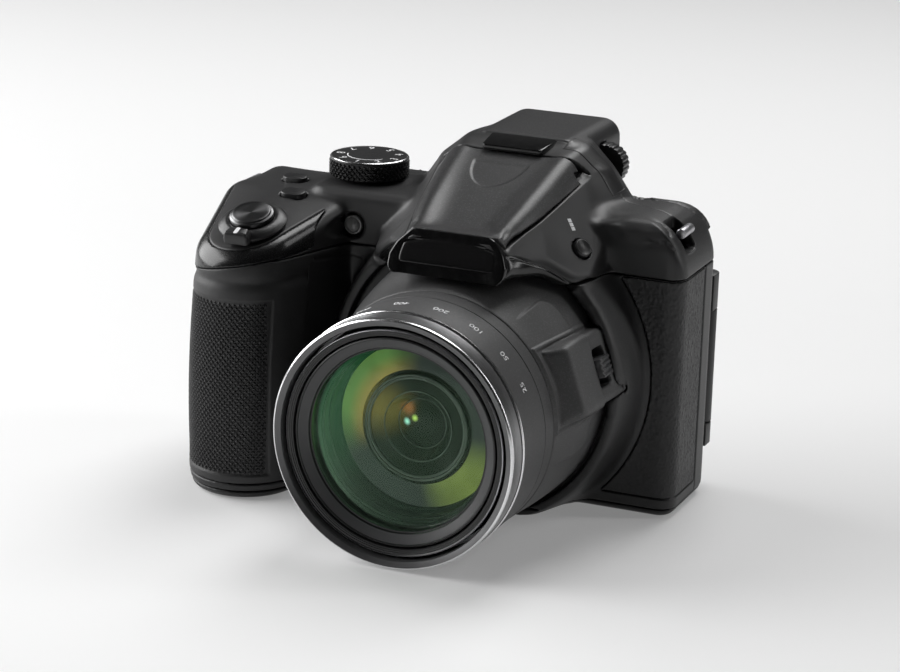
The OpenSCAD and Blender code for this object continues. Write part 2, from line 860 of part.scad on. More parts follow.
module hinge_bracket() {
    color(black) translate([hinge_x, hinge_y, 0]) {
        for (span = [[hinge_low, arm_low - gap], [arm_high + gap, hinge_high]]) difference() {
            union() {
                disc(hinge_r, span[0], span[1]);
                box(-hinge_r, hinge_r, body_back + seam - hinge_y, 0, span[0], span[1]);
            }
        }
        disc(hinge_pin_r, hinge_low + 1, hinge_high - 1);
    }
}

module tripod_socket() {
    color(steel) difference() {
        union() {
            cylinder(r = 5, h = tripod_depth + 2);
            disc(7, base_t + seam, base_t + 2);
        }
        translate([0, 0, -1]) cylinder(r = tripod_r, h = tripod_depth + 1);
    }
}

module lens_base_plate() {
    color(dark) difference() {
        union() {
            intersection() {
                on_lens_axis() disc(39, plate_front - plate_t, plate_front);
                box(-36, 36, -far, far, base_t + 6, top_split + 4);
            }
            on_lens_axis() disc(rear_tube_r, plate_front - plate_t, rear_tube_front);
        }
        on_lens_axis() {
            disc(rear_tube_bore, -20, 60);
            translate([motor_at[0], motor_at[1], 0]) disc(1.1 + gap, -20, 60);
        }
    }
}
module aperture_unit() {
    color(gloss) on_lens_axis() {
        difference() {
            disc(rear_tube_bore - seam, rear_tube_front - 5, rear_tube_front - 0.4);
            disc(6, 0, 60);
        }
    }
}
module relay_lens() {
    color(glass) on_lens_axis() lens_glass(rear_tube_bore - seam, rear_tube_front - 7, 3.4, 60, 60);
}
module focus_lens() {
    color(glass) on_lens_axis() lens_glass(rear_tube_bore - gap, plate_front + 4.4, 3, 60, 60);
}
module zoom_motor() {
    color(steel) on_lens_axis() translate([motor_at[0], motor_at[1], 0]) {
        disc(motor_r, plate_front - plate_t - 14, plate_front - plate_t - seam);
        disc(1, plate_front - plate_t - 1, gear_front);
    }
}
module image_sensor() {
    back = plate_front - plate_t - seam;
    color(green) on_lens_axis() difference() {
        union() {
            translate([-18, -15, back - 5]) cube([36, 30, 5]);
            translate([-20, -17, back - 6.2]) cube([40, 34, 1.2]);
        }
        translate([-7, -6, back - 3.4]) cube([14, 12, 10]);
    }
}
board_y = body_back - wall - 2.9;
board_t = 1.2;
board_left = -27;
board_right = body_right - 5.5;
board_low = base_t + 4.8;
board_high = top_split - 3.6;
chip_t = 1.5;
frame_rim = 2;
frame_window = [22, 32];
module main_board() {
    color(green) {
        box(board_left, board_right, board_y, board_y + board_t, board_low, board_high);
        box(board_left + 7, board_left + 31, board_y - chip_t, board_y, board_low + 5, board_low + 27);
        box(board_right - 31, board_right - 11, board_y - chip_t, board_y, board_high - 19, board_high - 3);
    }
}
module chassis() {
    color(steel) difference() {
        box(board_left - frame_rim, board_right + 1.4, board_y + board_t + seam, body_back - wall - gap,
            board_low - frame_rim, board_high + frame_rim);
        for (x = [board_left + 9, board_right - 29])
            box(x, x + frame_window[0], 0, far, board_low + 7, board_low + 7 + frame_window[1]);
    }
}
module battery() color([0.25, 0.26, 0.28]) translate(battery_at) cube(battery_size);
module memory_card() {
    color([0.1, 0.15, 0.3])
        translate([battery_at[0] + battery_size[0] + gap, battery_at[1] + 4, battery_at[2]])
        cube(card_size);
}
module connector_sockets() {
    x0 = -grip_left + rubber_t + wall + 0.9;
    color(steel) difference() {
        box(x0, battery_at[0] - gap, jack_front + 0.6, jack_back - 1, jack_low + 1, jack_high - 1);
        box(x0 - 1, x0 + 4, jack_front + 2, jack_back - 2.2, jack_low + 4, jack_low + 12);
        box(x0 - 1, x0 + 4, jack_front + 2, jack_back - 2.2, jack_low + 16, jack_high - 4);
    }
}
module case_screws() {
    color(steel) for (p = screw_places) translate([p[0], p[1], 0]) {
        disc(screw_r, 0.3, 1.2);
        disc(shank_r, 0.3, base_t + 1.6);
    }
}

module shutter_button() {
    color(steel) on_shutter() {
        disc(shutter_r, 1.4, 3.4);
        disc(shutter_r - 0.7, 3.4, 3.9);
        disc(2.2, -5, 1.4);
    }
}
module zoom_lever() {
    color(black) on_shutter() difference() {
        union() {
            disc(lever_r, 0.5, 2.4);
            disc(3, -4.5, 0.6);
            hull() {
                translate([-2.4, -lever_r - 0.6, 1]) cylinder(r = 0.9, h = 2.6, $fn = 24);
                translate([2.4, -lever_r - 0.6, 1]) cylinder(r = 0.9, h = 2.6, $fn = 24);
                translate([0, 1.4 - lever_r, 1]) cylinder(r = 1, h = 1.2, $fn = 24);
            }
        }
        disc(shutter_r + gap, 0.6, 8);
        disc(2.2 + pin_fit, -8, 8);
    }
}
module mode_dial() {
    knurls = 48;
    color(black) on_dial() {
        difference() {
            disc(dial_r, 0, dial_h);
            for (i = [0:knurls - 1]) rotate([0, 0, 360*i/knurls]) translate([dial_r + 0.35, 0, -1])
                cylinder(r = 0.6, h = dial_h, $fn = 6);
        }
        disc(3.4, -4, 0);
    }
}
module command_dial() {
    ribs = 36;
    color(black) translate([command_at[0], command_at[1], command_z]) difference() {
        cylinder(r = command_r, h = command_h);
        for (i = [0:ribs - 1]) rotate([0, 0, 360*i/ribs]) translate([command_r + 0.3, 0, -1])
            cylinder(r = 0.6, h = command_h + 2, $fn = 6);
    }
}
module top_button() {
    oval(1.9, 2.4, -wall - 1, button_proud);
    oval(1.9 + flange_grow, 2.4, -wall - 1.4 - flange_t, -wall - 1);
}
module power_button() color(dark) on_pod(power_at) top_button();
module function_button() color(dark) on_pod(function_at) top_button();
module flash_button() color(dark) aimed(flash_button_at, flash_button_aim) disc(flash_button_r, -3.4, 0.7);
module rear_button(i, r) color(dark) on_back(rear_places[i][0], rear_places[i][1]) press_button(r);
module play_button() rear_button(0, button_r);
module menu_button() rear_button(1, button_r);
module delete_button() rear_button(2, button_r);
module display_button() rear_button(3, button_r);
module movie_button() rear_button(4, button_r + movie_grow);
module multi_selector() {
    color(dark) on_back(selector_at[0], selector_at[1]) tube(selector_r, selector_r/2, gap - 1.3, 1.6);
}
module ok_button() {
    color(dark) on_back(selector_at[0], selector_at[1]) disc(selector_r/2 - gap, press + 0.2 - 1.3, 1.9);
}
module side_zoom_switch() {
    color(dark) on_plinth() difference() {
        translate([switch_floor + gap, -switch_half, switch_mid - switch_len/2])
            cube([plinth_top + 1.2 - switch_floor, 2*switch_half, switch_len]);
        for (y = [-1.2, 0, 1.2]) translate([plinth_top + 1.2, y - 0.3, 0]) cube([2, 0.6, 60]);
    }
}

module flash_housing() {
    color(dark) {
        difference() {
            union() {
                difference() {
                    intersection() {
                        hump();
                        flash_zone();
                    }
                    translate([0, 0, -0.9]) intersection() {
                        hump(1.5);
                        flash_zone(1.2);
                        behind(-34);
                    }
                    box(-far, far, -flash_hinge_y, 0, 60, flash_hinge_z + flash_foot);
                }
                flash_block();
            }
            flash_reflector(0);
        }
        flash_axis() cylinder(r = flash_pin_r, h = 24, center = true);
        for (side = [-1, 1]) hull() {
            translate([side*10.4, 0, 0]) flash_axis() cylinder(r = 1, h = 1.6, center = true, $fn = 24);
            translate([side*10.4, -flash_hinge_y - 1, flash_hinge_z + 2.2]) cube([1.6, 3, 1], center = true);
        }
    }
}
module flash_reflector(grow) {
    box(-9 - grow, 9 + grow, -60, -29.5, flash_block_floor + 0.8 - grow, flash_block_floor + 4.4 + grow);
}
module flash_window() {
    color([0.85, 0.87, 0.88]) intersection() {
        flash_reflector(-seam);
        difference() {
            flash_sweep(-0.7);
            flash_sweep(-2);
        }
    }
}
module flash_tube() {
    color([0.8, 0.8, 0.75]) translate([0, -31.4, flash_block_floor + 2.6]) rotate([0, 90, 0])
        cylinder(r = 1.6, h = 17.6, center = true);
}

module monitor_frame() {
    color(black) difference() {
        rounded_plate(monitor_left, monitor_right, monitor_low, monitor_low + monitor_h, 3.5, monitor_y,
            monitor_y + monitor_t);
        rounded_plate(monitor_left + 3, monitor_right - 4, monitor_low + 2, monitor_low + monitor_h - 2, 1.5,
            monitor_y + monitor_t - 1.2, monitor_y + monitor_t + 5);
        translate([monitor_right - 4.2, hinge_y, twist_z]) rotate([0, 90, 0])
            cylinder(r = twist_r + pin_fit, h = 20);
    }
}
module monitor_screen() {
    front = monitor_y + monitor_t;
    color([0.05, 0.06, 0.08]) rounded_plate(monitor_left + 3 + seam, monitor_right - 4 - seam,
        monitor_low + 2 + seam, monitor_low + monitor_h - 2 - seam, 1.5, front - 1.2 + seam, front - 0.3);
}
module hinge_arm() {
    color(black) difference() {
        union() {
            translate([hinge_x, hinge_y, 0]) disc(hinge_r, arm_low, arm_high);
            box(monitor_right + seam, hinge_x, hinge_y - hinge_r, hinge_y + hinge_r, arm_low, arm_high);
            translate([monitor_right - 4, hinge_y, twist_z]) rotate([0, 90, 0]) cylinder(r = twist_r, h = 5);
        }
        translate([hinge_x, hinge_y, 0]) disc(hinge_pin_r + pin_fit, 0, 60);
    }
}

module battery_door() {
    color(black) {
        box(door_left, door_hinge_x, door_front, door_front + door_l, 0.15, base_t - 0.15);
        translate([door_hinge_x, door_front, door_hinge_z]) rotate([-90, 0, 0]) cylinder(r = 1, h = door_l);
    }
}
module connector_door() {
    color(black) {
        intersection() {
            difference() {
                pod();
                pod(trim_t);
            }
            box(-far, -60, jack_front, jack_back, jack_low, jack_high);
        }
        translate([jack_hinge[0], jack_hinge[1], jack_low])
            cylinder(r = jack_hinge_r, h = jack_high - jack_low);
        box(jack_hinge[0] - 0.5, jack_hinge[0] + 0.5, jack_back - 0.5, jack_hinge[1], jack_low, jack_high);
    }
}

module zoom_barrel() {
    color(black) on_lens_axis() rotate_extrude($fn = 128) polygon([
        [stage_one_in, stage_one_back], [stage_one_out, stage_one_back],
        [stage_one_out, stage_one_front - 0.5],
        [stage_one_out - 0.5, stage_one_front], [stage_one_in + 0.3, stage_one_front],
        [stage_one_in, stage_one_front - 0.4]]);
}
module front_barrel() {
    baffle = second_glass_at + 1.4;
    color(black) on_lens_axis() rotate_extrude($fn = 128) polygon([
        [stage_two_in, stage_two_back], [stage_two_out, stage_two_back],
        [stage_two_out, stage_two_front - 0.4],
        [stage_two_out - 0.4, stage_two_front], [front_glass_r + 0.6, front_glass_edge + 0.5],
        [front_glass_r - 0.4, front_glass_edge + 0.5], [front_glass_r - 0.4, front_glass_edge + 0.15],
        [front_glass_r + seam, front_glass_edge + 0.15], [front_glass_r + seam, front_glass_edge - 3],
        [front_glass_r - 1, front_glass_edge - 3.4], [front_glass_r - 1, baffle + 0.6],
        [second_glass_r - 0.6, baffle], [second_glass_r - 0.6, second_glass_at + 0.6],
        [second_glass_r + seam, second_glass_at + seam],
        [second_glass_r + seam, second_glass_at - 4], [stage_two_in, second_glass_at - 4]]);
}
module front_lens() color(glass) on_lens_axis() lens_glass(front_glass_r, front_glass_edge, 2.6, 110, 400);
module second_lens() color(glass) on_lens_axis() lens_glass(second_glass_r, second_glass_at, 4, 30, 400);
module cam_ring() {
    color(steel) on_lens_axis() difference() {
        union() {
            disc(cam_out, gear_front - gear_lap, lens_front - 9);
            translate([0, 0, gear_back]) gear(cam_teeth, gear_front - gear_back, motor_turn);
        }
        disc(cam_in, 0, 90);
    }
}
module drive_pinion() {
    color([0.75, 0.6, 0.25]) on_lens_axis() translate([motor_at[0], motor_at[1], 0]) difference() {
        translate([0, 0, gear_back])
            gear(pinion_teeth, gear_front - gap - gear_lap - gear_back, motor_turn + 180 + 180/pinion_teeth);
        disc(1 + pin_fit, 0, 40);
    }
}
module dioptre_dial() {
    ribs = 24;
    color(dark) translate(dioptre_at) rotate([90, 0, 0]) difference() {
        cylinder(r = dioptre_r, h = dioptre_t, center = true);
        for (i = [0:ribs - 1]) rotate([0, 0, 360*i/ribs]) translate([dioptre_r + 0.3, 0, -5])
            cylinder(r = 0.55, h = 10, $fn = 6);
    }
}

front_shell();
top_cover();
rear_shell();
base_plate();
grip_rubber();
side_pad();
shutter_trim();
nameplate();
antenna_cover();
barrel_cover();
lens_ring();
eyecup();
eyepiece_lens();
evf_display();
strap_lugs();
focus_lamp();
hinge_bracket();
tripod_socket();
lens_base_plate();
aperture_unit();
relay_lens();
zoom_motor();
image_sensor();
main_board();
chassis();
battery();
memory_card();
connector_sockets();
case_screws();
shutter_button();
zoom_lever();
mode_dial();
command_dial();
power_button();
function_button();
flash_button();
movie_button();
display_button();
play_button();
menu_button();
delete_button();
multi_selector();
ok_button();
side_zoom_switch();
flash_housing();
flash_window();
flash_tube();
monitor_frame();
monitor_screen();
hinge_arm();
battery_door();
connector_door();
zoom_barrel();
front_barrel();
front_lens();
second_lens();
cam_ring();
drive_pinion();
focus_lens();
dioptre_dial();
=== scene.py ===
"""Looks of a bridge camera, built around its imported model.
Sizes are in millimetres until MM turns them to metres."""
import json
import math

import bmesh
import bpy
import numpy as np
from mathutils import Matrix, Vector, noise
from mathutils.bvhtree import BVHTree


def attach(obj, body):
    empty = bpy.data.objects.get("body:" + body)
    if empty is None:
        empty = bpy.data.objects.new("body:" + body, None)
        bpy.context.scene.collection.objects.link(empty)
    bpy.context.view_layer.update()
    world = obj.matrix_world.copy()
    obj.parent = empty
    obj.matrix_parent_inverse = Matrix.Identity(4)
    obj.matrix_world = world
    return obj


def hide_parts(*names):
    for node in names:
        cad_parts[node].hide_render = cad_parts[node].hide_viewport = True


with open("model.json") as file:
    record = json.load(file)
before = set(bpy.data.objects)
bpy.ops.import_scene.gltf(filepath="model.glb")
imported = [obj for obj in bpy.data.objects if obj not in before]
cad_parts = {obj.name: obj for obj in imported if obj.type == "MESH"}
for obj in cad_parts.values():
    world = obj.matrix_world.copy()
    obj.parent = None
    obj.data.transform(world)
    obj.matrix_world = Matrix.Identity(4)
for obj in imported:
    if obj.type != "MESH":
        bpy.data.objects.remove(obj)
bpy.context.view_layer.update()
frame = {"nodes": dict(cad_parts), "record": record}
nodes = frame["nodes"]
scene = bpy.context.scene
MM = 0.001
SLOT_OF = {part["node"]: part["material_slot"] for part in frame["record"]["subparts"]}
BODY_OF = {node: body for body, held in frame["record"]["behaviour"]["bodies"].items() for node in held}

# Sizes shared with the solids
BODY_RIGHT = 46.5
BODY_FRONT = 12.0
BODY_BACK = 14.2
SHOULDER_H = 71.9
GRIP_LEFT = 74.5
GRIP_FRONT = 47.6
GRIP_H = 71.8
LENS_Z = 29.6
RING_R = 29.2
RING_BACK = 47.0
EVF_HALF = 14.3
EVF_TOP = 85.1
EVF_BACK = 33.2
EVF_FLOOR = 60.4
COLLAR_Z = LENS_Z + 3.4

# Polished hood over the lens opening, and the panel before the dioptre dial
HOOD_Z = LENS_Z + 3
HOOD_R = 33.8
HOOD_WIDE = 3.4
HOOD_THIN = 1.4
BAND_X = 10.5
BAND_FRONT = 1.0
BAND_BACK = 8.5

SIDES = 240
FORM_VOXEL = 0.5
SHELL_VOXEL = 0.36


# Mesh helpers
def mesh_object(name, points, faces):
    """A new mesh object from points in millimetres."""
    mesh = bpy.data.meshes.new(name)
    mesh.from_pydata((np.asarray(points, float) * MM).tolist(), [], [list(map(int, f)) for f in faces])
    obj = bpy.data.objects.new(name, mesh)
    scene.collection.objects.link(obj)
    return obj


def applied(obj):
    """The object with its modifiers turned into mesh."""
    graph = bpy.context.evaluated_depsgraph_get()
    mesh = bpy.data.meshes.new_from_object(obj.evaluated_get(graph))
    obj.modifiers.clear()
    obj.data = mesh
    return obj


def joined(name, parts):
    """One object that holds the meshes of several."""
    points, faces, start = [], [], 0
    for part in parts:
        points.append(read_points(part.data))
        faces += [[start + v for v in p.vertices] for p in part.data.polygons]
        start += len(part.data.vertices)
        bpy.data.objects.remove(part)
    return mesh_object(name, np.vstack(points) / MM, faces)


def read_points(mesh):
    flat = np.empty(len(mesh.vertices) * 3, np.float32)
    mesh.vertices.foreach_get("co", flat)
    return flat.reshape(-1, 3).astype(float)


def write_points(mesh, points):
    mesh.vertices.foreach_set("co", points.astype(np.float32).ravel())
    mesh.update()


def shade_smooth(obj):
    obj.data.polygons.foreach_set("use_smooth", [True] * len(obj.data.polygons))
    obj.data.update()
    return obj


def remeshed(obj, voxel):
    """The outer skin of all closed shells in the object, as an even grid of quads."""
    modifier = obj.modifiers.new("Grid", "REMESH")
    modifier.mode = "VOXEL"
    modifier.voxel_size = voxel * MM
    return applied(obj)


def thinned(obj, share):
    modifier = obj.modifiers.new("Thin", "DECIMATE")
    modifier.ratio = share
    return applied(obj)


def triangles(mesh):
    mesh.calc_loop_triangles()
    flat = np.empty(len(mesh.loop_triangles) * 3, np.int32)
    mesh.loop_triangles.foreach_get("vertices", flat)
    return flat.reshape(-1, 3)


def sums(index, values, count):
    return np.column_stack([np.bincount(index, values[:, k], count) for k in range(3)])


def vertex_normals(points, tris):
    a, b, c = (points[tris[:, k]] for k in range(3))
    face = np.cross(b - a, c - a)
    total = sum(sums(tris[:, k], face, len(points)) for k in range(3))
    return total / np.maximum(np.linalg.norm(total, axis=1), 1e-20)[:, None]


def relax(obj, rounds, fill_only=False, zone=None):
    """Evens the surface out. With fill_only, only hollows move, so inner corners fill up like fillets.
    zone(points) gives how much each point takes part, with the points in millimetres."""
    mesh = obj.data
    points = read_points(mesh)
    edges = np.empty(len(mesh.edges) * 2, np.int32)
    mesh.edges.foreach_get("vertices", edges)
    edges = edges.reshape(-1, 2)
    tris = triangles(mesh)
    count = np.bincount(edges.ravel(), minlength=len(points))
    part = 0.5 * (np.ones(len(points)) if zone is None else zone(points / MM))[:, None]
    for _ in range(rounds):
        total = sums(edges[:, 0], points[edges[:, 1]], len(points))
        total += sums(edges[:, 1], points[edges[:, 0]], len(points))
        shift = total / np.maximum(count, 1)[:, None] - points
        if fill_only:
            normal = vertex_normals(points, tris)
            outward = np.maximum((shift * normal).sum(1), 0)
            shift = outward[:, None] * normal
        points += part * shift
    write_points(mesh, points)
    return obj


# Outlines and lofts
def outline(circles, inset=0.0, sides=SIDES):
    """Points round the hull of circles (x, y, r), drawn in by inset."""
    angle = np.linspace(0, 2 * np.pi, sides, endpoint=False)
    c = np.array(circles, float)
    reach = np.outer(np.cos(angle), c[:, 0]) + np.outer(np.sin(angle), c[:, 1]) + c[:, 2]
    best = c[reach.argmax(1)]
    r = best[:, 2] - inset
    return np.column_stack([best[:, 0] + r * np.cos(angle), best[:, 1] + r * np.sin(angle)])


def flat(points, z):
    return np.column_stack([points, np.broadcast_to(z, len(points))])


def upright(points, y, lean=0.0, pivot=0.0):
    return np.column_stack([points[:, 0], y + lean * (points[:, 1] - pivot), points[:, 1]])


def smooth_stack(rings, steps=5):
    """Rings along a smooth curve through the given ones."""
    rings = np.array(rings, float)
    gaps = np.maximum(np.linalg.norm(np.diff(rings, axis=0), axis=2).mean(1), 1e-6)
    speed = np.diff(rings, axis=0) / gaps[:, None, None]
    slope = np.empty_like(rings)
    slope[0], slope[-1] = speed[0], speed[-1]
    share = (gaps[1:] / (gaps[1:] + gaps[:-1]))[:, None, None]
    slope[1:-1] = speed[:-1] * share + speed[1:] * (1 - share)
    out = []
    for i, gap in enumerate(gaps):
        for t in np.arange(steps) / steps:
            out.append((2 * t**3 - 3 * t**2 + 1) * rings[i] + (t**3 - 2 * t**2 + t) * gap * slope[i]
                       + (3 * t**2 - 2 * t**3) * rings[i + 1] + (t**3 - t**2) * gap * slope[i + 1])
    return np.array(out + [rings[-1]])


def loft(name, rings):
    """Closed solid through a stack of rings with equal counts of points."""
    rings = np.asarray(rings, float)
    m, n, _ = rings.shape
    points = np.vstack([rings.reshape(-1, 3), rings[0].mean(0), rings[-1].mean(0)])
    faces = [(i * n + j, i * n + (j + 1) % n, (i + 1) * n + (j + 1) % n, (i + 1) * n + j)
             for i in range(m - 1) for j in range(n)]
    faces += [(m * n, (j + 1) % n, j) for j in range(n)]
    faces += [(m * n + 1, (m - 1) * n + j, (m - 1) * n + (j + 1) % n) for j in range(n)]
    return mesh_object(name, points, faces)


def turned(name, profile, place, segments=128):
    """Turned piece from a closed profile of (height, radius) points, set down by the matrix place.
    A third value is the material of the face band to the next point, which is 0 otherwise."""
    angle = np.linspace(0, 2 * np.pi, segments, endpoint=False)
    k = len(profile)
    points, faces, bands = [], [], []
    for a in angle:
        points += [place @ Vector((r * math.cos(a), r * math.sin(a), h)) for h, r, *_ in profile]
    for i in range(segments):
        after = (i + 1) % segments
        for j in range(k):
            step = (j + 1) % k
            faces.append((i * k + j, after * k + j, after * k + step, i * k + step))
            bands.append(profile[j][2] if len(profile[j]) > 2 else 0)
    obj = mesh_object(name, points, faces)
    obj.data.polygons.foreach_set("material_index", bands)
    return tidied(obj)


def tidied(obj, sharp=35.0):
    """Merges doubled points, turns all faces outward and shades smooth up to the sharp angle."""
    net = bmesh.new()
    net.from_mesh(obj.data)
    bmesh.ops.remove_doubles(net, verts=net.verts, dist=1e-7)
    bmesh.ops.dissolve_degenerate(net, edges=net.edges, dist=1e-8)
    bmesh.ops.recalc_face_normals(net, faces=net.faces)
    net.to_mesh(obj.data)
    net.free()
    shade_smooth(obj)
    obj.data.set_sharp_from_angle(angle=math.radians(sharp))
    return obj


# Outer form of the body, smooth all over, from the same sections as the solids
ROUND_STEPS = np.radians(np.linspace(0, 90, 10))


def crown(x):
    """Height of the shoulder line at x."""
    flat_to = 33.0
    fall = 9.4
    right = SHOULDER_H - fall * (np.maximum(0, x - flat_to) / (BODY_RIGHT - flat_to)) ** 3
    return np.where(x < -32, 64.0, right)


def body_block():
    edge = 4.2
    back = 3.6
    left = -66.0
    plan = [(BODY_RIGHT - edge, edge - BODY_FRONT, edge), (BODY_RIGHT - back, BODY_BACK - back, back),
            (left, edge - BODY_FRONT, edge), (left, BODY_BACK - back, back)]
    top = 3.4
    rings = [flat(outline(plan, 2.4), 0), flat(outline(plan, 0.8), 0.8), flat(outline(plan), 2.4)]
    for t in ROUND_STEPS:
        ring = outline(plan, top * (1 - math.cos(t)))
        rings.append(flat(ring, crown(ring[:, 0]) - top * (1 - math.sin(t))))
    rim = outline(plan, top)
    middle = rim.mean(0)
    for share in np.linspace(0.97, 0.03, 24):
        ring = middle + share * (rim - middle)
        rings.append(flat(ring, crown(ring[:, 0])))
    return loft("block", rings)


POD_PLAN = [(-54.6, 14 - GRIP_FRONT, 14), (11 - GRIP_LEFT, -9, 11),
            (8.5 - GRIP_LEFT, BODY_BACK - 7.1, 6.5), (-38, -4, 7)]
POD_SIDES = [(0, 3), (0.8, 1.4), (2.6, 0.7), (10, 0.3), (24, 0), (38, 0.3), (47, 0.8), (53.5, 1.2)]


def pod_top(x, y):
    """Height of the grip's top plate."""
    lean, curve, fall = 0.07, 230.0, 0.028
    along = np.where(y > 0, -fall * y * y, lean * y - y * y / curve)
    return GRIP_H + along - 0.008 * np.minimum(0, x + 50) ** 2


def pod():
    rim_inset, top = 1.5, 3.4
    rings = list(smooth_stack([flat(outline(POD_PLAN, inset), z) for z, inset in POD_SIDES], 4))
    for t in ROUND_STEPS:
        ring = outline(POD_PLAN, rim_inset + top * (1 - math.cos(t)))
        rings.append(flat(ring, pod_top(ring[:, 0], ring[:, 1]) - top * (1 - math.sin(t))))
    rim = outline(POD_PLAN, rim_inset + top)
    middle = np.array([-56.0, -18.0])
    for share in np.linspace(0.95, 0.05, 16):
        ring = middle + share * (rim - middle)
        rings.append(flat(ring, pod_top(ring[:, 0], ring[:, 1])))
    return loft("pod", rings)


def island():
    front, height, top = 17.0, 71.4, 2.4
    plan = [(-43, 5 - front, 5), (-20, 5 - front, 5), (-20, 8, 5), (-43, 8, 5)]
    rings = [flat(outline(plan), 30)]
    for t in ROUND_STEPS:
        rings.append(flat(outline(plan, top * (1 - math.cos(t))), height - top * (1 - math.sin(t))))
    return loft("island", rings)


# Hump sections: y, lean, half width and height of roof edge, shoulder line and foot, and the underside
HUMP = [
    (13, 0, 15.5, 84.2, 20.5, 79, 26, 71.2, 57),
    (6, 0, 16.8, 84, 22, 79.4, 27, 71.6, 57),
    (-4, 0, 15.4, 82.3, 19.8, 78.1, 26, 69.2, 57),
    (-14, 0, 13.8, 78.9, 18.4, 75, 27.4, 65.5, 57),
    (-24, 0.1, 13, 75.5, 16.8, 72.4, 26, 61.5, 57),
    (-31, 0.3, 12.4, 73.2, 15.6, 70.4, 19.5, 65.6, 64),
    (-38, 0.5, 11.9, 70.9, 14.6, 68.4, 15.4, 66, 64.2),
    (-42.6, 0.52, 11.6, 71, 13.4, 69, 14.2, 65.6, 64.2)]
LEAN_PIVOT = 66.0


def both_sides(x, z, r):
    return [(x - r, z, r), (r - x, z, r)]


def hump():
    rings = []
    for y, lean, roof_x, roof_z, line_x, line_z, foot_x, foot_z, low in HUMP:
        circles = (both_sides(roof_x, roof_z - 3, 3) + both_sides(line_x, line_z - 2.6, 2.6)
                   + both_sides(foot_x, foot_z - 2.2, 2.2) + both_sides(foot_x, low + 0.8, 0.8))
        rings.append(upright(outline(circles), y, lean, LEAN_PIVOT))
    return loft("hump", smooth_stack(rings, 6))


def flash_rib(side):
    """Broad round rib along one side of the flash cover."""
    stations = [(-3.6, 12.6, 83.0, 4.4), (-10, 12.2, 80.9, 4.4), (-16, 11.8, 78.8, 4.4),
                (-21, 11.4, 77.1, 4.2), (-26, 11, 75.3, 4), (-31, 10.4, 73.4, 3.6),
                (-37, 9.8, 71.0, 3), (-41, 9.4, 69.4, 2.6)]
    rings = [upright(outline([(side * x, top - r, r)]), y) for y, x, top, r in stations]
    return loft("rib", smooth_stack(rings, 4))


def collar():
    stations = [(-4, 39.2), (-12, 39.2), (-13, 38.6), (-15, 38.1), (-19, 37.4), (-23, 36.7), (-25, 36)]
    rings = np.array([upright(outline([(0, COLLAR_Z, r)]), y) for y, r in stations])
    rings[:, :, 2] = np.maximum(rings[:, :, 2], 0)
    return loft("collar", rings)


def evf_block():
    rings = []
    for y, inset in [(EVF_BACK, 0.9), (EVF_BACK - 0.3, 0.4), (EVF_BACK - 1, 0), (4, 0)]:
        circles = both_sides(EVF_HALF, EVF_TOP - 4.4, 4.4) + both_sides(EVF_HALF, EVF_FLOOR + 2, 2)
        rings.append(upright(outline(circles, inset), y))
    return loft("finder", rings)


def flare():
    stations = [(-22.06, 0.6, 2.9, 32.2), (-34, 0.6, 1.9, 31.2), (-42, 0.2, 0.6, 29.9),
                (-RING_BACK, 0, 0, RING_R + 0.1)]
    rings = [upright(outline([(x, LENS_Z + z, r)]), y) for y, x, z, r in stations]
    return loft("flare", smooth_stack(rings, 8))


def smooth_form(name, parts, fill_rounds):
    form = relax(remeshed(joined(name, parts), FORM_VOXEL), fill_rounds, fill_only=True)
    return relax(form, 4)


def surface_tree(obj):
    points = read_points(obj.data)
    return BVHTree.FromPolygons(points.tolist(), triangles(obj.data).tolist())


def snapped(obj, tree, reach, deep=None):
    """Draws the outer faces of a shell to the smooth form, and keeps the inner faces a wall below it.
    deep(points) says where the reach is longer."""
    wall = 1.0 * MM
    long_reach = 2.6 * MM
    inner_reach = 4.0 * MM
    mesh = obj.data
    points = read_points(mesh)
    normals = vertex_normals(points, triangles(mesh))
    limits = np.broadcast_to(reach(points / MM) if callable(reach) else reach, len(points)) * MM
    far_zone = np.zeros(len(points), bool)
    if deep is not None:
        far_zone = deep(points / MM)
        limits[far_zone] = long_reach
    for i, (point, normal) in enumerate(zip(points.tolist(), normals)):
        place, form_normal, _, _ = tree.find_nearest(point, inner_reach if far_zone[i] else limits[i])
        if place is None:
            continue
        agree = form_normal.x * normal[0] + form_normal.y * normal[1] + form_normal.z * normal[2]
        depth = (place - Vector(point)).dot(form_normal)
        if agree < 0 and far_zone[i] and depth < wall:
            points[i] = place - form_normal * wall
        elif agree > 0 and abs(depth) < limits[i]:
            facing = min(1.0, max(0.0, (agree - 0.55) / 0.25))
            points[i] += facing * (np.array(place) - points[i])
    write_points(mesh, points)
    return obj


def ramp(value, low, high):
    """Smooth step from 0 at low to 1 at high."""
    t = np.clip((value - low) / (high - low), 0, 1)
    return t * t * (3 - 2 * t)


def carved(obj, depth):
    """Moves the surface inward by depth(points) millimetres, with the points in millimetres."""
    points = read_points(obj.data)
    normals = vertex_normals(points, triangles(obj.data))
    write_points(obj.data, points - normals * (depth(points / MM) * MM)[:, None])
    return obj


def copy_of(node, name):
    mesh = nodes[node].data.copy()
    mesh.materials.clear()
    obj = bpy.data.objects.new(name, mesh)
    scene.collection.objects.link(obj)
    return obj


def stand_in(obj, node, *materials):
    """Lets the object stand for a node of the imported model, on its body and with its materials."""
    coat(obj, *materials)
    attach(obj, BODY_OF[node])
    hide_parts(node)
    return obj


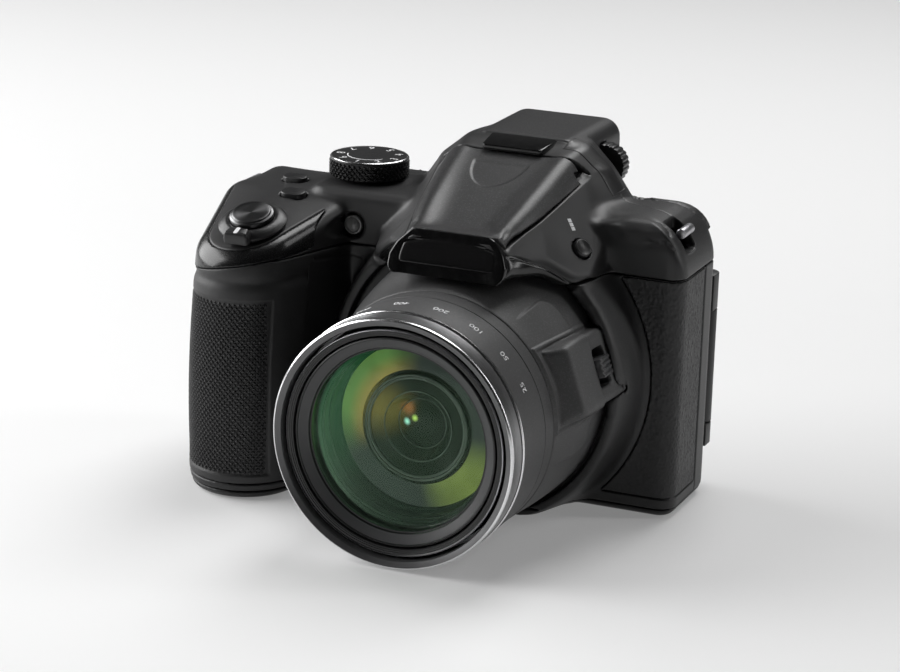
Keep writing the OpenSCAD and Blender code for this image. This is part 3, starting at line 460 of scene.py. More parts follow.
def dressed(node, made, tree=None, voxel=SHELL_VOXEL, reach=0.8, deep=None, keep=0.35, depth=None, calm=None):
    """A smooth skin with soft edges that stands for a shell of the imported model.
    calm(points) says where it is evened out more."""
    calm_rounds = 60
    obj = relax(remeshed(copy_of(node, node + "_skin"), voxel), 2)
    if tree is not None:
        obj = relax(snapped(obj, tree, reach, deep), 1)
    if calm is not None:
        obj = relax(obj, calm_rounds, zone=calm)
    if depth is not None:
        obj = carved(obj, depth)
    return stand_in(shade_smooth(thinned(obj, keep)), node, made)


def bevelled(node, made, width):
    """A small piece with its edges rounded off."""
    obj = copy_of(node, node + "_piece")
    net = bmesh.new()
    net.from_mesh(obj.data)
    bmesh.ops.remove_doubles(net, verts=net.verts, dist=2e-6)
    bmesh.ops.dissolve_limit(net, angle_limit=math.radians(2), verts=net.verts, edges=net.edges)
    net.to_mesh(obj.data)
    net.free()
    modifier = obj.modifiers.new("Edges", "BEVEL")
    modifier.width = width * MM
    modifier.segments = 2
    modifier.angle_limit = math.radians(32)
    return stand_in(tidied(applied(obj), 42), node, made)


# Materials
def node_material(name, colour, roughness, **sockets):
    """A principled material, with its node tree and shader."""
    made = bpy.data.materials.new(name)
    made.use_nodes = True
    shader = made.node_tree.nodes["Principled BSDF"]
    shader.inputs["Base Color"].default_value = (*colour, 1)
    shader.inputs["Roughness"].default_value = roughness
    for socket, value in sockets.items():
        shader.inputs[socket.replace("_", " ")].default_value = value
    return made, made.node_tree, shader


def add(tree, kind, **values):
    node = tree.nodes.new(kind)
    for key, value in values.items():
        if hasattr(node, key):
            setattr(node, key, value)
        else:
            node.inputs[key.replace("_", " ")].default_value = value
    return node


def math_node(tree, operation, first, second=None):
    """Result of a sum on two values, each a socket or a number."""
    node = add(tree, "ShaderNodeMath", operation=operation)
    for slot, value in enumerate((first, second)):
        if isinstance(value, (int, float)):
            node.inputs[slot].default_value = value
        elif value is not None:
            tree.links.new(value, node.inputs[slot])
    return node.outputs["Value"]


def step_up(tree, value, low, high):
    """Smooth step of a socket from 0 at low to 1 at high. With low above high it falls."""
    node = add(tree, "ShaderNodeMapRange", interpolation_type="SMOOTHSTEP")
    node.inputs["From Min"].default_value = min(low, high)
    node.inputs["From Max"].default_value = max(low, high)
    node.inputs["To Min"].default_value = 0.0 if low < high else 1.0
    node.inputs["To Max"].default_value = 1.0 if low < high else 0.0
    tree.links.new(value, node.inputs["Value"])
    return node.outputs["Result"]


def place_mm(tree):
    """The x, y and z of the surface in millimetres of the part's frame."""
    place = add(tree, "ShaderNodeTexCoord")
    scaled = add(tree, "ShaderNodeVectorMath", operation="SCALE")
    scaled.inputs["Scale"].default_value = 1 / MM
    tree.links.new(place.outputs["Object"], scaled.inputs[0])
    split = add(tree, "ShaderNodeSeparateXYZ")
    tree.links.new(scaled.outputs[0], split.inputs["Vector"])
    return split.outputs["X"], split.outputs["Y"], split.outputs["Z"]


def grain_noise(tree, size, detail=2.0):
    """Noise whose lumps are about size millimetres across."""
    place = add(tree, "ShaderNodeTexCoord")
    noise = add(tree, "ShaderNodeTexNoise", Scale=1 / (size * MM), Detail=detail)
    tree.links.new(place.outputs["Object"], noise.inputs["Vector"])
    return noise.outputs["Fac"]


def bump_from(tree, shader, height, depth):
    """Adds a bump of that depth in millimetres under the shader's normal."""
    bump = add(tree, "ShaderNodeBump", Distance=depth * MM)
    tree.links.new(height, bump.inputs["Height"])
    before = shader.inputs["Normal"]
    if before.is_linked:
        tree.links.new(before.links[0].from_socket, bump.inputs["Normal"])
    tree.links.new(bump.outputs["Normal"], before)


def spread(tree, value, low, high):
    """Maps a noise value to a range."""
    mapped = add(tree, "ShaderNodeMapRange", From_Min=0.3, From_Max=0.7, To_Min=low, To_Max=high)
    tree.links.new(value, mapped.inputs["Value"])
    return mapped.outputs["Result"]


def mixed(tree, factor, first, second):
    """Colour between two, each a socket or a tuple."""
    mix = add(tree, "ShaderNodeMix", data_type="RGBA")
    tree.links.new(factor, mix.inputs[0])
    for slot, value in ((6, first), (7, second)):
        if isinstance(value, tuple):
            mix.inputs[slot].default_value = (*value, 1)
        else:
            tree.links.new(value, mix.inputs[slot])
    return mix.outputs[2]


def mixed_value(tree, factor, first, second):
    """Number between two, each a socket or a number."""
    return math_node(tree, "ADD", math_node(tree, "MULTIPLY", factor, second),
                     math_node(tree, "MULTIPLY", math_node(tree, "SUBTRACT", 1.0, factor), first))


def moulded(name, dark, light, roughness, grain, depth, sparkle=0.0, metallic=0.0, polish=None):
    """Moulded plastic with a fine grain and uneven gloss. sparkle adds metallic flakes.
    polish(tree, x, y, z) gives a mask of where the surface is polished."""
    made, tree, shader = node_material(name, dark, roughness, Metallic=metallic)
    fine = grain_noise(tree, grain)
    broad = grain_noise(tree, 14.0)
    bump_from(tree, shader, fine, depth)
    colour = mixed(tree, spread(tree, broad, 0, 1), dark, light)
    rough = spread(tree, fine, roughness - 0.05, roughness + 0.07)
    if polish is not None:
        mask = polish(tree, *place_mm(tree))
        colour = mixed(tree, mask, colour, (0.006, 0.006, 0.0062))
        rough = mixed_value(tree, mask, rough, 0.2)
    tree.links.new(colour, shader.inputs["Base Color"])
    tree.links.new(rough, shader.inputs["Roughness"])
    if sparkle:
        place = add(tree, "ShaderNodeTexCoord")
        flakes = add(tree, "ShaderNodeTexVoronoi", Scale=1 / (0.2 * MM))
        tree.links.new(place.outputs["Object"], flakes.inputs["Vector"])
        split = add(tree, "ShaderNodeSeparateColor")
        tree.links.new(flakes.outputs["Color"], split.inputs["Color"])
        lit = math_node(tree, "MULTIPLY", step_up(tree, split.outputs["Red"], 0.72, 1.0), sparkle)
        tree.links.new(mixed(tree, lit, colour, (0.2, 0.2, 0.205)), shader.inputs["Base Color"])
    return made


def coat(obj, *materials):
    """Gives the object its materials. Clearing resets the bands, so only a filled list is cleared."""
    if len(obj.data.materials):
        obj.data.materials.clear()
    for made in materials:
        obj.data.materials.append(made)
    return obj


def radius_about(tree, across, upward, height):
    """Distance of a place across and upward from the axis at that height."""
    up_part = math_node(tree, "POWER", math_node(tree, "SUBTRACT", upward, height), 2.0)
    return math_node(tree, "SQRT", math_node(tree, "ADD", math_node(tree, "POWER", across, 2.0), up_part))


def cover_polish(tree, x, y, z):
    """Polished hood band above the lens opening."""
    reach = radius_about(tree, x, z, HOOD_Z)
    width = add(tree, "ShaderNodeMapRange", From_Min=13.0, From_Max=29.0, To_Min=HOOD_WIDE, To_Max=HOOD_THIN)
    tree.links.new(math_node(tree, "ABSOLUTE", x), width.inputs["Value"])
    past = math_node(tree, "SUBTRACT", reach, width.outputs["Result"])
    hood = step_up(tree, past, HOOD_R + 0.1, HOOD_R - 0.1)
    ahead = step_up(tree, y, -20.6, -21.0)
    return math_node(tree, "MULTIPLY", hood, ahead)


BLACK_DARK, BLACK_LIGHT = (0.014, 0.014, 0.0145), (0.018, 0.018, 0.0185)
BLACK = moulded("body black", BLACK_DARK, BLACK_LIGHT, 0.45, 0.25, 0.005)
TOP_BLACK = moulded("top cover black", BLACK_DARK, BLACK_LIGHT, 0.43, 0.25, 0.005, polish=cover_polish)
BARREL = moulded("barrel black", (0.052, 0.052, 0.0525), (0.062, 0.062, 0.0625), 0.5, 0.25, 0.006, 0.2)
COVER = moulded("cover grey", (0.02, 0.02, 0.0205), (0.025, 0.025, 0.0255), 0.37, 0.25, 0.006, 0.2)
RUBBER = moulded("grip rubber", (0.021, 0.021, 0.0215), (0.026, 0.026, 0.0265), 0.52, 0.4, 0.01)
LEATHER = moulded("pad leather", (0.013, 0.013, 0.0135), (0.017, 0.017, 0.0175), 0.5, 0.4, 0.012)
GLOSS = moulded("gloss black", (0.004, 0.004, 0.0042), (0.006, 0.006, 0.0062), 0.14, 2.0, 0.002)
TRIM = moulded("trim gloss", (0.005, 0.005, 0.0052), (0.007, 0.007, 0.0072), 0.24, 0.2, 0.002)
SATIN = moulded("satin black", (0.011, 0.011, 0.0115), (0.016, 0.016, 0.0165), 0.34, 0.4, 0.008)
GREY = moulded("satin grey", (0.05, 0.05, 0.052), (0.06, 0.06, 0.062), 0.4, 0.4, 0.008)
STEEL = moulded("steel", (0.5, 0.5, 0.51), (0.56, 0.56, 0.57), 0.28, 0.6, 0.004, metallic=1.0)
SILVER = moulded("silver edge", (0.72, 0.72, 0.73), (0.8, 0.8, 0.81), 0.2, 0.6, 0.002, metallic=1.0)
CAM = moulded("cam metal", (0.42, 0.42, 0.44), (0.5, 0.5, 0.52), 0.35, 0.6, 0.004, metallic=1.0)
BRASS = moulded("brass", (0.6, 0.42, 0.16), (0.66, 0.48, 0.2), 0.3, 0.6, 0.004, metallic=1.0)
BOARD = moulded("circuit board", (0.02, 0.09, 0.045), (0.03, 0.11, 0.055), 0.45, 1.5, 0.02)
WRAP = moulded("cell wrap", (0.03, 0.03, 0.034), (0.04, 0.04, 0.044), 0.3, 2.0, 0.004)
PRINT = moulded("light print", (0.74, 0.74, 0.75), (0.82, 0.82, 0.83), 0.5, 0.5, 0.002)
RIM = moulded("rim grey", (0.12, 0.12, 0.122), (0.15, 0.15, 0.153), 0.38, 0.5, 0.004, metallic=0.8)
INNER_RING = moulded("inner ring", (0.2, 0.225, 0.2), (0.24, 0.265, 0.24), 0.4, 0.5, 0.002)
LAMP = moulded("lamp glass", (0.16, 0.16, 0.158), (0.3, 0.3, 0.296), 0.12, 0.9, 0.06)
SCREEN = moulded("monitor glass", (0.006, 0.007, 0.009), (0.009, 0.01, 0.013), 0.06, 4.0, 0.0005)


def brushed_ring():
    """Dark metal band with fine lines round the lens axis."""
    made, tree, shader = node_material("brushed band", (0.3, 0.3, 0.305), 0.28, Metallic=1.0)
    _, y, _ = place_mm(tree)
    lines = add(tree, "ShaderNodeTexNoise", noise_dimensions="1D", Scale=9.0, Detail=3.0)
    tree.links.new(y, lines.inputs["W"])
    bump_from(tree, shader, lines.outputs["Fac"], 0.02)
    tree.links.new(spread(tree, lines.outputs["Fac"], 0.26, 0.4), shader.inputs["Roughness"])
    return made


def blend_out(tree, factor, first, second):
    """Sends a blend of two shaders to the surface."""
    blend = add(tree, "ShaderNodeMixShader")
    for slot, value in enumerate((factor, first, second)):
        tree.links.new(value, blend.inputs[slot])
    tree.links.new(blend.outputs["Shader"], tree.nodes["Material Output"].inputs["Surface"])


def clear_glass(name, colour, strength):
    """Thin clear glass with a weak coloured reflection."""
    made = bpy.data.materials.new(name)
    made.use_nodes = True
    tree = made.node_tree
    tree.nodes.remove(tree.nodes["Principled BSDF"])
    through = add(tree, "ShaderNodeBsdfTransparent", Color=(0.93, 0.97, 0.94, 1))
    shine = add(tree, "ShaderNodeBsdfGlossy", Color=(*colour, 1), Roughness=0.03)
    edge = add(tree, "ShaderNodeFresnel", IOR=1.5)
    haze = spread(tree, grain_noise(tree, 9.0), strength * 0.9, strength * 1.1)
    share = math_node(tree, "MULTIPLY", edge.outputs["Fac"], haze)
    blend_out(tree, share, through.outputs["BSDF"], shine.outputs["BSDF"])
    return made


def toward(tree, x, z, direction):
    """How far a point lies round the lens axis toward a direction, from -1 to 1."""
    across = math_node(tree, "MULTIPLY", x, direction[0])
    upward = math_node(tree, "MULTIPLY", math_node(tree, "SUBTRACT", z, LENS_Z), direction[1])
    reach = math_node(tree, "MAXIMUM", radius_about(tree, x, z, LENS_Z), 0.01)
    return math_node(tree, "DIVIDE", math_node(tree, "ADD", across, upward), reach)


def spot(tree, x, z, place, size):
    """Soft round patch about a place across the lens, the mask of a painted glint."""
    gap = radius_about(tree, math_node(tree, "SUBTRACT", x, place[0]), z, LENS_Z + place[1])
    return step_up(tree, gap, size, 0.0)


def lit(tree, shader, colour, strength):
    """Gives the shader a painted glow, not from any lamp, from two sockets."""
    tree.links.new(colour, shader.inputs["Emission Color"])
    tree.links.new(strength, shader.inputs["Emission Strength"])


LENS_SHINE = 0.12


def element_with_painted_reflections():
    """Inner lens surface, dark, with painted reflections: green and amber patches given as glow, not lit by
    any lamp.
    """
    made, tree, shader = node_material("element with painted reflections", (0.01, 0.014, 0.011), 0.12,
                                       Specular_IOR_Level=LENS_SHINE)
    x, _, z = place_mm(tree)
    reach = radius_about(tree, x, z, LENS_Z)
    # Painted reflections: glowing patches at the upper left and lower right, green-yellow outside and amber
    # toward the middle.
    left = step_up(tree, toward(tree, x, z, (-0.86, 0.51)), 0.45, 0.98)
    low_right_painted_patch = step_up(tree, toward(tree, x, z, (0.72, -0.69)), 0.72, 1.05)
    warm = step_up(tree, reach, 18.0, 13.2)
    painted_reflection = mixed(tree, warm, (0.1, 0.2, 0.055), (0.25, 0.2, 0.055))
    painted_reflection = mixed(tree, math_node(tree, "MULTIPLY", left, 0.95), (0.028, 0.034, 0.031), painted_reflection)
    painted_reflection = mixed(tree, math_node(tree, "MULTIPLY", low_right_painted_patch, 0.85), painted_reflection, (0.17, 0.22, 0.05))
    lit(tree, shader, painted_reflection, spread(tree, grain_noise(tree, 5.0), 0.85, 1.1))
    return made


def deep_element():
    """Innermost lens surfaces, dark with small painted amber, green and blue glints that glow."""
    made, tree, shader = node_material("deep element", (0.006, 0.008, 0.006), 0.1,
                                       Specular_IOR_Level=LENS_SHINE)
    x, _, z = place_mm(tree)
    # Painted glints: soft spots of glow at given places across the lens.
    glow = mixed(tree, spot(tree, x, z, (-9.0, 3.5), 9.0), (0.004, 0.006, 0.004), (0.12, 0.1, 0.022))
    glow = mixed(tree, spot(tree, x, z, (-3.8, 2.9), 2.4), glow, (0.24, 0.1, 0.03))
    glow = mixed(tree, spot(tree, x, z, (-4.1, -0.3), 1.2), glow, (0.4, 0.9, 0.7))
    glow = mixed(tree, spot(tree, x, z, (-2.0, 0.9), 1.1), glow, (0.5, 0.75, 0.15))
    lit(tree, shader, glow, spread(tree, grain_noise(tree, 3.0), 0.9, 1.1))
    return made


def tube_wall():
    """Inside of the lens tube, near black with a painted green reflection at its left, given as glow."""
    made, tree, shader = node_material("tube wall", (0.008, 0.012, 0.009), 0.3, Specular_IOR_Level=LENS_SHINE)
    x, y, z = place_mm(tree)
    # Painted reflection: green glow toward the left of the axis, stronger and weaker in rings along the tube.
    left = step_up(tree, toward(tree, x, z, (-0.9, 0.42)), 0.2, 1.0)
    rings = add(tree, "ShaderNodeTexNoise", noise_dimensions="1D", Scale=1.2, Detail=2.0)
    tree.links.new(y, rings.inputs["W"])
    painted_reflection = mixed(tree, left, (0.0025, 0.0035, 0.003), (0.007, 0.042, 0.016))
    lit(tree, shader, painted_reflection, spread(tree, rings.outputs["Fac"], 0.7, 1.2))
    bump_from(tree, shader, rings.outputs["Fac"], 0.05)
    return made


def spun_metal():
    """Dark metal turned in fine rings, with a fan-shaped highlight painted into its colour by angle."""
    made, tree, shader = node_material("spun metal", (0.1, 0.1, 0.102), 0.34, Metallic=1.0)
    x, y, _ = place_mm(tree)
    # Painted highlight: the colour is lighter in a narrow fan about one angle, standing in for the shine of
    # the lathe cut.
    angle = math_node(tree, "ARCTAN2", y, x)
    first = math_node(tree, "ABSOLUTE", math_node(tree, "COSINE", math_node(tree, "SUBTRACT", angle, 0.75)))
    painted_fan_highlight = math_node(tree, "POWER", first, 9.0)
    tree.links.new(mixed(tree, painted_fan_highlight, (0.05, 0.05, 0.051), (0.3, 0.3, 0.304)), shader.inputs["Base Color"])
    reach = radius_about(tree, x, y, 0.0)
    rings = add(tree, "ShaderNodeTexNoise", noise_dimensions="1D", Scale=12.0, Detail=2.0)
    tree.links.new(reach, rings.inputs["W"])
    tree.links.new(spread(tree, rings.outputs["Fac"], 0.28, 0.42), shader.inputs["Roughness"])
    bump_from(tree, shader, rings.outputs["Fac"], 0.01)
    return made


BAND = brushed_ring()
FRONT_GLASS = clear_glass("front glass", (0.6, 0.9, 0.65), 0.35)
CLEAR = clear_glass("clear plastic", (0.9, 0.9, 0.9), 0.8)
ELEMENT = element_with_painted_reflections()
DEEP = deep_element()
WALL = tube_wall()
SPUN = spun_metal()
COAT_OF = {"body_black": BLACK, "cover_grey": COVER, "rubber": RUBBER, "leatherette": LEATHER,
           "gloss_black": GLOSS, "button_black": SATIN, "spun_metal": SPUN, "steel": STEEL, "cam_metal": CAM,
           "brass": BRASS, "glass": FRONT_GLASS, "lamp_clear": CLEAR, "circuit": BOARD, "cell_wrap": WRAP}

# Camera at the photograph's place
YAW, PITCH, ROLL = (math.radians(v) for v in (22.248, 16.701, 1.804))
VIEW_AT = Vector((253.329, -658.653, 247.138))
FOCAL, SENSOR = 121.52, 36.0
right = Vector((math.cos(YAW), math.sin(YAW), 0))
forward = Vector((-math.sin(YAW) * math.cos(PITCH), math.cos(YAW) * math.cos(PITCH), -math.sin(PITCH)))
up = right.cross(forward)
across = right * math.cos(ROLL) + up * math.sin(ROLL)
upward = up * math.cos(ROLL) - right * math.sin(ROLL)
lens_data = bpy.data.cameras.new("view")
lens_data.lens = FOCAL
lens_data.sensor_width = SENSOR
view = bpy.data.objects.new("view", lens_data)
scene.collection.objects.link(view)
turn = Matrix((across, upward, -forward)).transposed().to_4x4()
view.matrix_world = Matrix.Translation(VIEW_AT * MM) @ turn
scene.camera = view
scene.view_settings.view_transform = "Standard"


# Floor and light
def softbox(name, place, width, height, radiance):
    """Rectangular lamp at a place in metres, aimed at the part."""
    lamp = bpy.data.lights.new(name, "AREA")
    lamp.shape = "RECTANGLE"
    lamp.size = width
    lamp.size_y = height
    lamp.energy = radiance * math.pi * width * height
    obj = bpy.data.objects.new(name, lamp)
    obj.location = place
    obj.rotation_euler = (CENTRE - Vector(place)).to_track_quat("-Z", "Y").to_euler()
    scene.collection.objects.link(obj)


def studio_air():
    """Soft light from all round, stronger from behind the part and weaker from overhead."""
    world = bpy.data.worlds.new("studio")
    scene.world = world
    world.use_nodes = True
    tree = world.node_tree
    place = add(tree, "ShaderNodeTexCoord")
    split = add(tree, "ShaderNodeSeparateXYZ")
    tree.links.new(place.outputs["Generated"], split.inputs["Vector"])
    height = add(tree, "ShaderNodeMapRange", From_Min=-0.1, From_Max=0.9, To_Min=0.85, To_Max=0.5)
    tree.links.new(split.outputs["Z"], height.inputs["Value"])
    depth = add(tree, "ShaderNodeMapRange", From_Min=-0.9, From_Max=0.9, To_Min=0.25, To_Max=1.9)
    tree.links.new(split.outputs["Y"], depth.inputs["Value"])
    level = math_node(tree, "MULTIPLY", height.outputs["Result"], depth.outputs["Result"])
    tree.links.new(level, tree.nodes["Background"].inputs["Strength"])


def pale_paper():
    """Floor paper that keeps its shadows and is lifted a little where it is seen. Its colour darkens from
    front to back as painted shade.
    """
    near, far, lift = (0.86, 0.86, 0.86), (0.74, 0.74, 0.74), 0.2
    made, tree, shader = node_material("paper", near, 0.8, Specular_IOR_Level=0.1)
    # Painted shade: the paper's colour falls from near to far along y.
    painted_falloff = mixed(tree, step_up(tree, place_mm(tree)[1], -160.0, 200.0), near, far)
    tree.links.new(painted_falloff, shader.inputs["Base Color"])
    glow = add(tree, "ShaderNodeEmission", Strength=1.0)
    path = add(tree, "ShaderNodeLightPath")
    seen = path.outputs["Is Camera Ray"]
    for ray in ("Is Glossy Ray", "Is Transmission Ray"):
        seen = math_node(tree, "MAXIMUM", seen, path.outputs[ray])
    share = math_node(tree, "MULTIPLY", seen, lift)
    blend_out(tree, share, shader.outputs["BSDF"], glow.outputs["Emission"])
    return made


CENTRE = Vector((-0.014, -0.018, 0.04))
softbox("top box", (0.04, 0.42, 0.8), width=0.42, height=0.75, radiance=5.3)
softbox("left box", (-0.8, -0.12, 0.42), width=0.95, height=0.7, radiance=5.6)
softbox("right strip", (0.75, 0.32, 0.45), width=0.14, height=0.8, radiance=4.5)
studio_air()
FLOOR_HALF = 20000.0
floor_corners = [(FLOOR_HALF * x, FLOOR_HALF * y, 0) for x, y in ((-1, -1), (1, -1), (1, 1), (-1, 1))]
floor = mesh_object("floor", floor_corners, [(0, 1, 2, 3)])
coat(floor, pale_paper())

# Every node gets the coat of its slot first, so that nothing stays bare
for name, obj in nodes.items():
    coat(obj, COAT_OF[SLOT_OF[name]])


# Body shells
def groove(gap, half=0.2, depth=0.3):
    """Depth of a narrow groove at a distance from its middle line."""
    return depth * (1 - ramp(np.abs(gap), half * 0.5, half * 1.6))


def within(value, low, high, soft=0.2):
    return ramp(value, low - soft, low + soft) * (1 - ramp(value, high - soft, high + soft))


def top_depth(p):
    """Grooves along the polished hood and the shoulder seam, and the dish of the focus lamp."""
    x, y, z = p.T
    reach = np.hypot(x, z - HOOD_Z)
    width = np.interp(np.abs(x), [13, 29], [HOOD_WIDE, HOOD_THIN])
    hood = groove(reach - width - HOOD_R) * (1 - ramp(y, -21.4, -20.6))
    seam_y = np.interp(x, [24, 40], [4.6, -0.4])
    seam = groove(y - seam_y, 0.16, 0.2) * within(x, 24.5, 39) * (z > 69)
    dish = 0.7 * (1 - ramp(np.hypot(x - LAMP_AT[0], z - LAMP_AT[1]), 2.5, 3.7)) * (y < -9)
    return np.maximum.reduce([hood, seam, dish])


def near_line(p, line):
    """Distance of each point to a line through places across the front, x and z."""
    best = np.full(len(p), 1e9)
    across = p[:, [0, 2]]
    for a, b in zip(line[:-1], line[1:]):
        a, b = np.array(a), np.array(b)
        t = np.clip((across - a) @ (b - a) / ((b - a) @ (b - a)), 0, 1)
        best = np.minimum(best, np.linalg.norm(across - a - t[:, None] * (b - a), axis=1))
    return best


LAMP_AT = (-35.3, 63.1)
PANEL_EDGE = [(-41.8, 58.0), (-38.8, 56.4), (-36.0, 55.9), (-33.4, 55.8), (-32.3, 55.4), (-31.8, 54.6),
              (-32.6, 51.6), (-34.6, 45.3), (-35.6, 38.0)]


def front_depth(p):
    """Groove along the edge of the soft panel between grip and lens."""
    return groove(near_line(p, PANEL_EDGE), 0.16, 0.3) * (p[:, 1] < -9)


def top_reach(p):
    """The top cover follows the smooth form farther between the grip and the shoulder."""
    return np.interp(p[:, 0], [-40, -38, 29, 31.5], [0.8, 2.6, 2.6, 0.8])


def collar_calm(p):
    """Cut-out of the collar round the plinth of the side switch."""
    out, across, s = plinth_place(p)
    return 0.3 * within(out, 30, 42, 0.5) * within(across, -13, 13, 0.5) * within(s, 14, 28, 0.5)


def top_calm(p):
    """Where the shoulder meets the hump, and the hood above the lens."""
    x, y, z = p.T
    shoulder = within(x, 20, 37, 1.5) * within(y, -15, 1, 1.5) * within(z, 65, 76, 1.5)
    reach = np.hypot(x, z - HOOD_Z)
    hood = 0.9 * within(reach, 32, 38, 0.5) * (1 - ramp(y, -20, -18)) * ramp(np.abs(x), 11, 13)
    return np.maximum(shoulder, hood)


GRIP_LOW, GRIP_HIGH = 6.3, 49.2
GRIP_RIGHT, GRIP_BACK = -44.1, -6.9
STUD_H = 0.34


def grip_depth(p):
    """Sunk field for the studs, and the soft dip under the trim."""
    x, y, z = p.T
    field = within(z, GRIP_LOW, GRIP_HIGH) * (1 - ramp(x, GRIP_RIGHT - 0.2, GRIP_RIGHT + 0.2))
    field *= 1 - ramp(y, GRIP_BACK - 0.2, GRIP_BACK + 0.2)
    dip = 0.5 * np.exp(-((z - 53.4) / 1.3) ** 2)
    return STUD_H * field + dip


def pad_depth(p):
    """Leather grain of small cells."""
    cell = np.array([0.85, 0.85, 1.0])
    out = np.empty(len(p))
    for i, point in enumerate((p / cell).tolist()):
        near, _ = noise.voronoi(point)
        out[i] = near[1] - near[0]
    return 0.12 * (1 - ramp(out, 0.02, 0.5))


PLINTH_TILT = math.radians(19)
PLINTH_HALF, PLINTH_FRONT = 9.0, 45.0


def plinth_place(p):
    """Places out of the plinth, across it and along the lens."""
    x, y, z = p.T
    out = x * math.cos(PLINTH_TILT) + (z - LENS_Z) * math.sin(PLINTH_TILT)
    across = (z - LENS_Z) * math.cos(PLINTH_TILT) - x * math.sin(PLINTH_TILT)
    return out, across, -y


def plinth_calm(p):
    """Edges of the plinth, away from the slot of the switch."""
    out, across, s = plinth_place(p)
    slot = within(across, -6.2, 6.2, 0.4) * within(s, 25, 33, 0.4)
    return 0.4 * ramp(out, 29, 30.5) * within(across, -11, 11) * within(s, 16, 47) * (1 - slot)


def barrel_depth(p):
    """Raised panel round the plinth of the side switch, and a lip along the plinth's foot.
    Negative depth is outward."""
    x, y, z = p.T
    middle, half, back, corner = 71.0, 35.0, 31.5, 4.0
    angle = np.degrees(np.arctan2(x, z - LENS_Z))
    a = np.radians(half - np.abs(angle - middle)) * 31
    b = -y - back
    inside = np.minimum(a, b)
    at_corner = (a < corner) & (b < corner)
    inside = np.where(at_corner, corner - np.hypot(corner - a, corner - b), inside)
    panel = -0.5 * ramp(inside, -0.4, 0.5) * (1 - ramp(-y, 37, 45))
    out, across, s = plinth_place(p)
    rim = np.maximum(np.abs(across) - PLINTH_HALF, s - PLINTH_FRONT)
    lip = groove(rim - 0.9, 0.4, 0.4) * (out > 20) * (s > 26)
    return panel - lip


def flash_depth(p):
    """Faint tongue-shaped dish below the antenna plate."""
    x, y, z = p.T
    reach = np.hypot((x + 0.8) / 7.2, np.minimum(0, y + 7) / 11.9)
    return 0.2 * (1 - ramp(reach, 0.93, 1.0)) * (1 - ramp(y, -9.5, -8)) * (z > 70)


def flash_calm(p):
    """Front corners of the flash cover."""
    x, y, _ = p.T
    return 0.35 * within(np.abs(x), 7.5, 17, 0.5) * (1 - ramp(y, -33, -31))


def plate_depth(p):
    """Nameplate face, set back below a raised rim at its top and ends."""
    x, y, z = p.T
    lean = math.radians(27.5)
    up_face = (y + 43.6) * math.sin(lean) + (z - 64.2) * math.cos(lean)
    out_face = (y + 43.6) * math.cos(lean) - (z - 64.2) * math.sin(lean)
    half = np.interp(up_face, [0, 3, 6], [13.4, 13.2, 11.4])
    ends = 1 - ramp(np.abs(x), half - 4.5, half - 0.3)
    return 0.25 * ends * (1 - ramp(up_face, 5.0, 5.6)) * (out_face < 0.6)


body_parts = [body_block(), pod(), island(), hump(), flash_rib(1), flash_rib(-1), collar(), evf_block()]
body_form = smooth_form("body_form", body_parts, fill_rounds=60)
body_tree = surface_tree(body_form)
bpy.data.objects.remove(body_form)
barrel_form = flare()
barrel_tree = surface_tree(barrel_form)
bpy.data.objects.remove(barrel_form)

dressed("front_shell", BLACK, body_tree, deep=lambda p: (p[:, 0] > -39) & (p[:, 0] < -22),
        depth=front_depth, calm=collar_calm)
dressed("top_cover", TOP_BLACK, body_tree, voxel=0.3, reach=top_reach,
        deep=lambda p: (p[:, 0] > -38) & (p[:, 0] < 28), keep=0.5, depth=top_depth, calm=top_calm)
dressed("rear_shell", BLACK, body_tree, voxel=0.45)
dressed("base_plate", BLACK, body_tree, voxel=0.45)
dressed("grip_rubber", RUBBER, body_tree, voxel=0.33, depth=grip_depth)
dressed("side_pad", LEATHER, body_tree, voxel=0.27, keep=0.7, depth=pad_depth)
dressed("shutter_trim", TRIM, body_tree, voxel=0.27, keep=0.6)
dressed("nameplate", GLOSS, voxel=0.22, keep=0.6, depth=plate_depth)
dressed("flash_housing", COVER, body_tree, voxel=0.26, reach=2.2, keep=0.5, depth=flash_depth,
        calm=flash_calm)
dressed("barrel_cover", BARREL, barrel_tree, voxel=0.33, reach=0.5, keep=0.5, depth=barrel_depth,
        calm=plinth_calm)
dressed("eyecup", RUBBER, voxel=0.4)


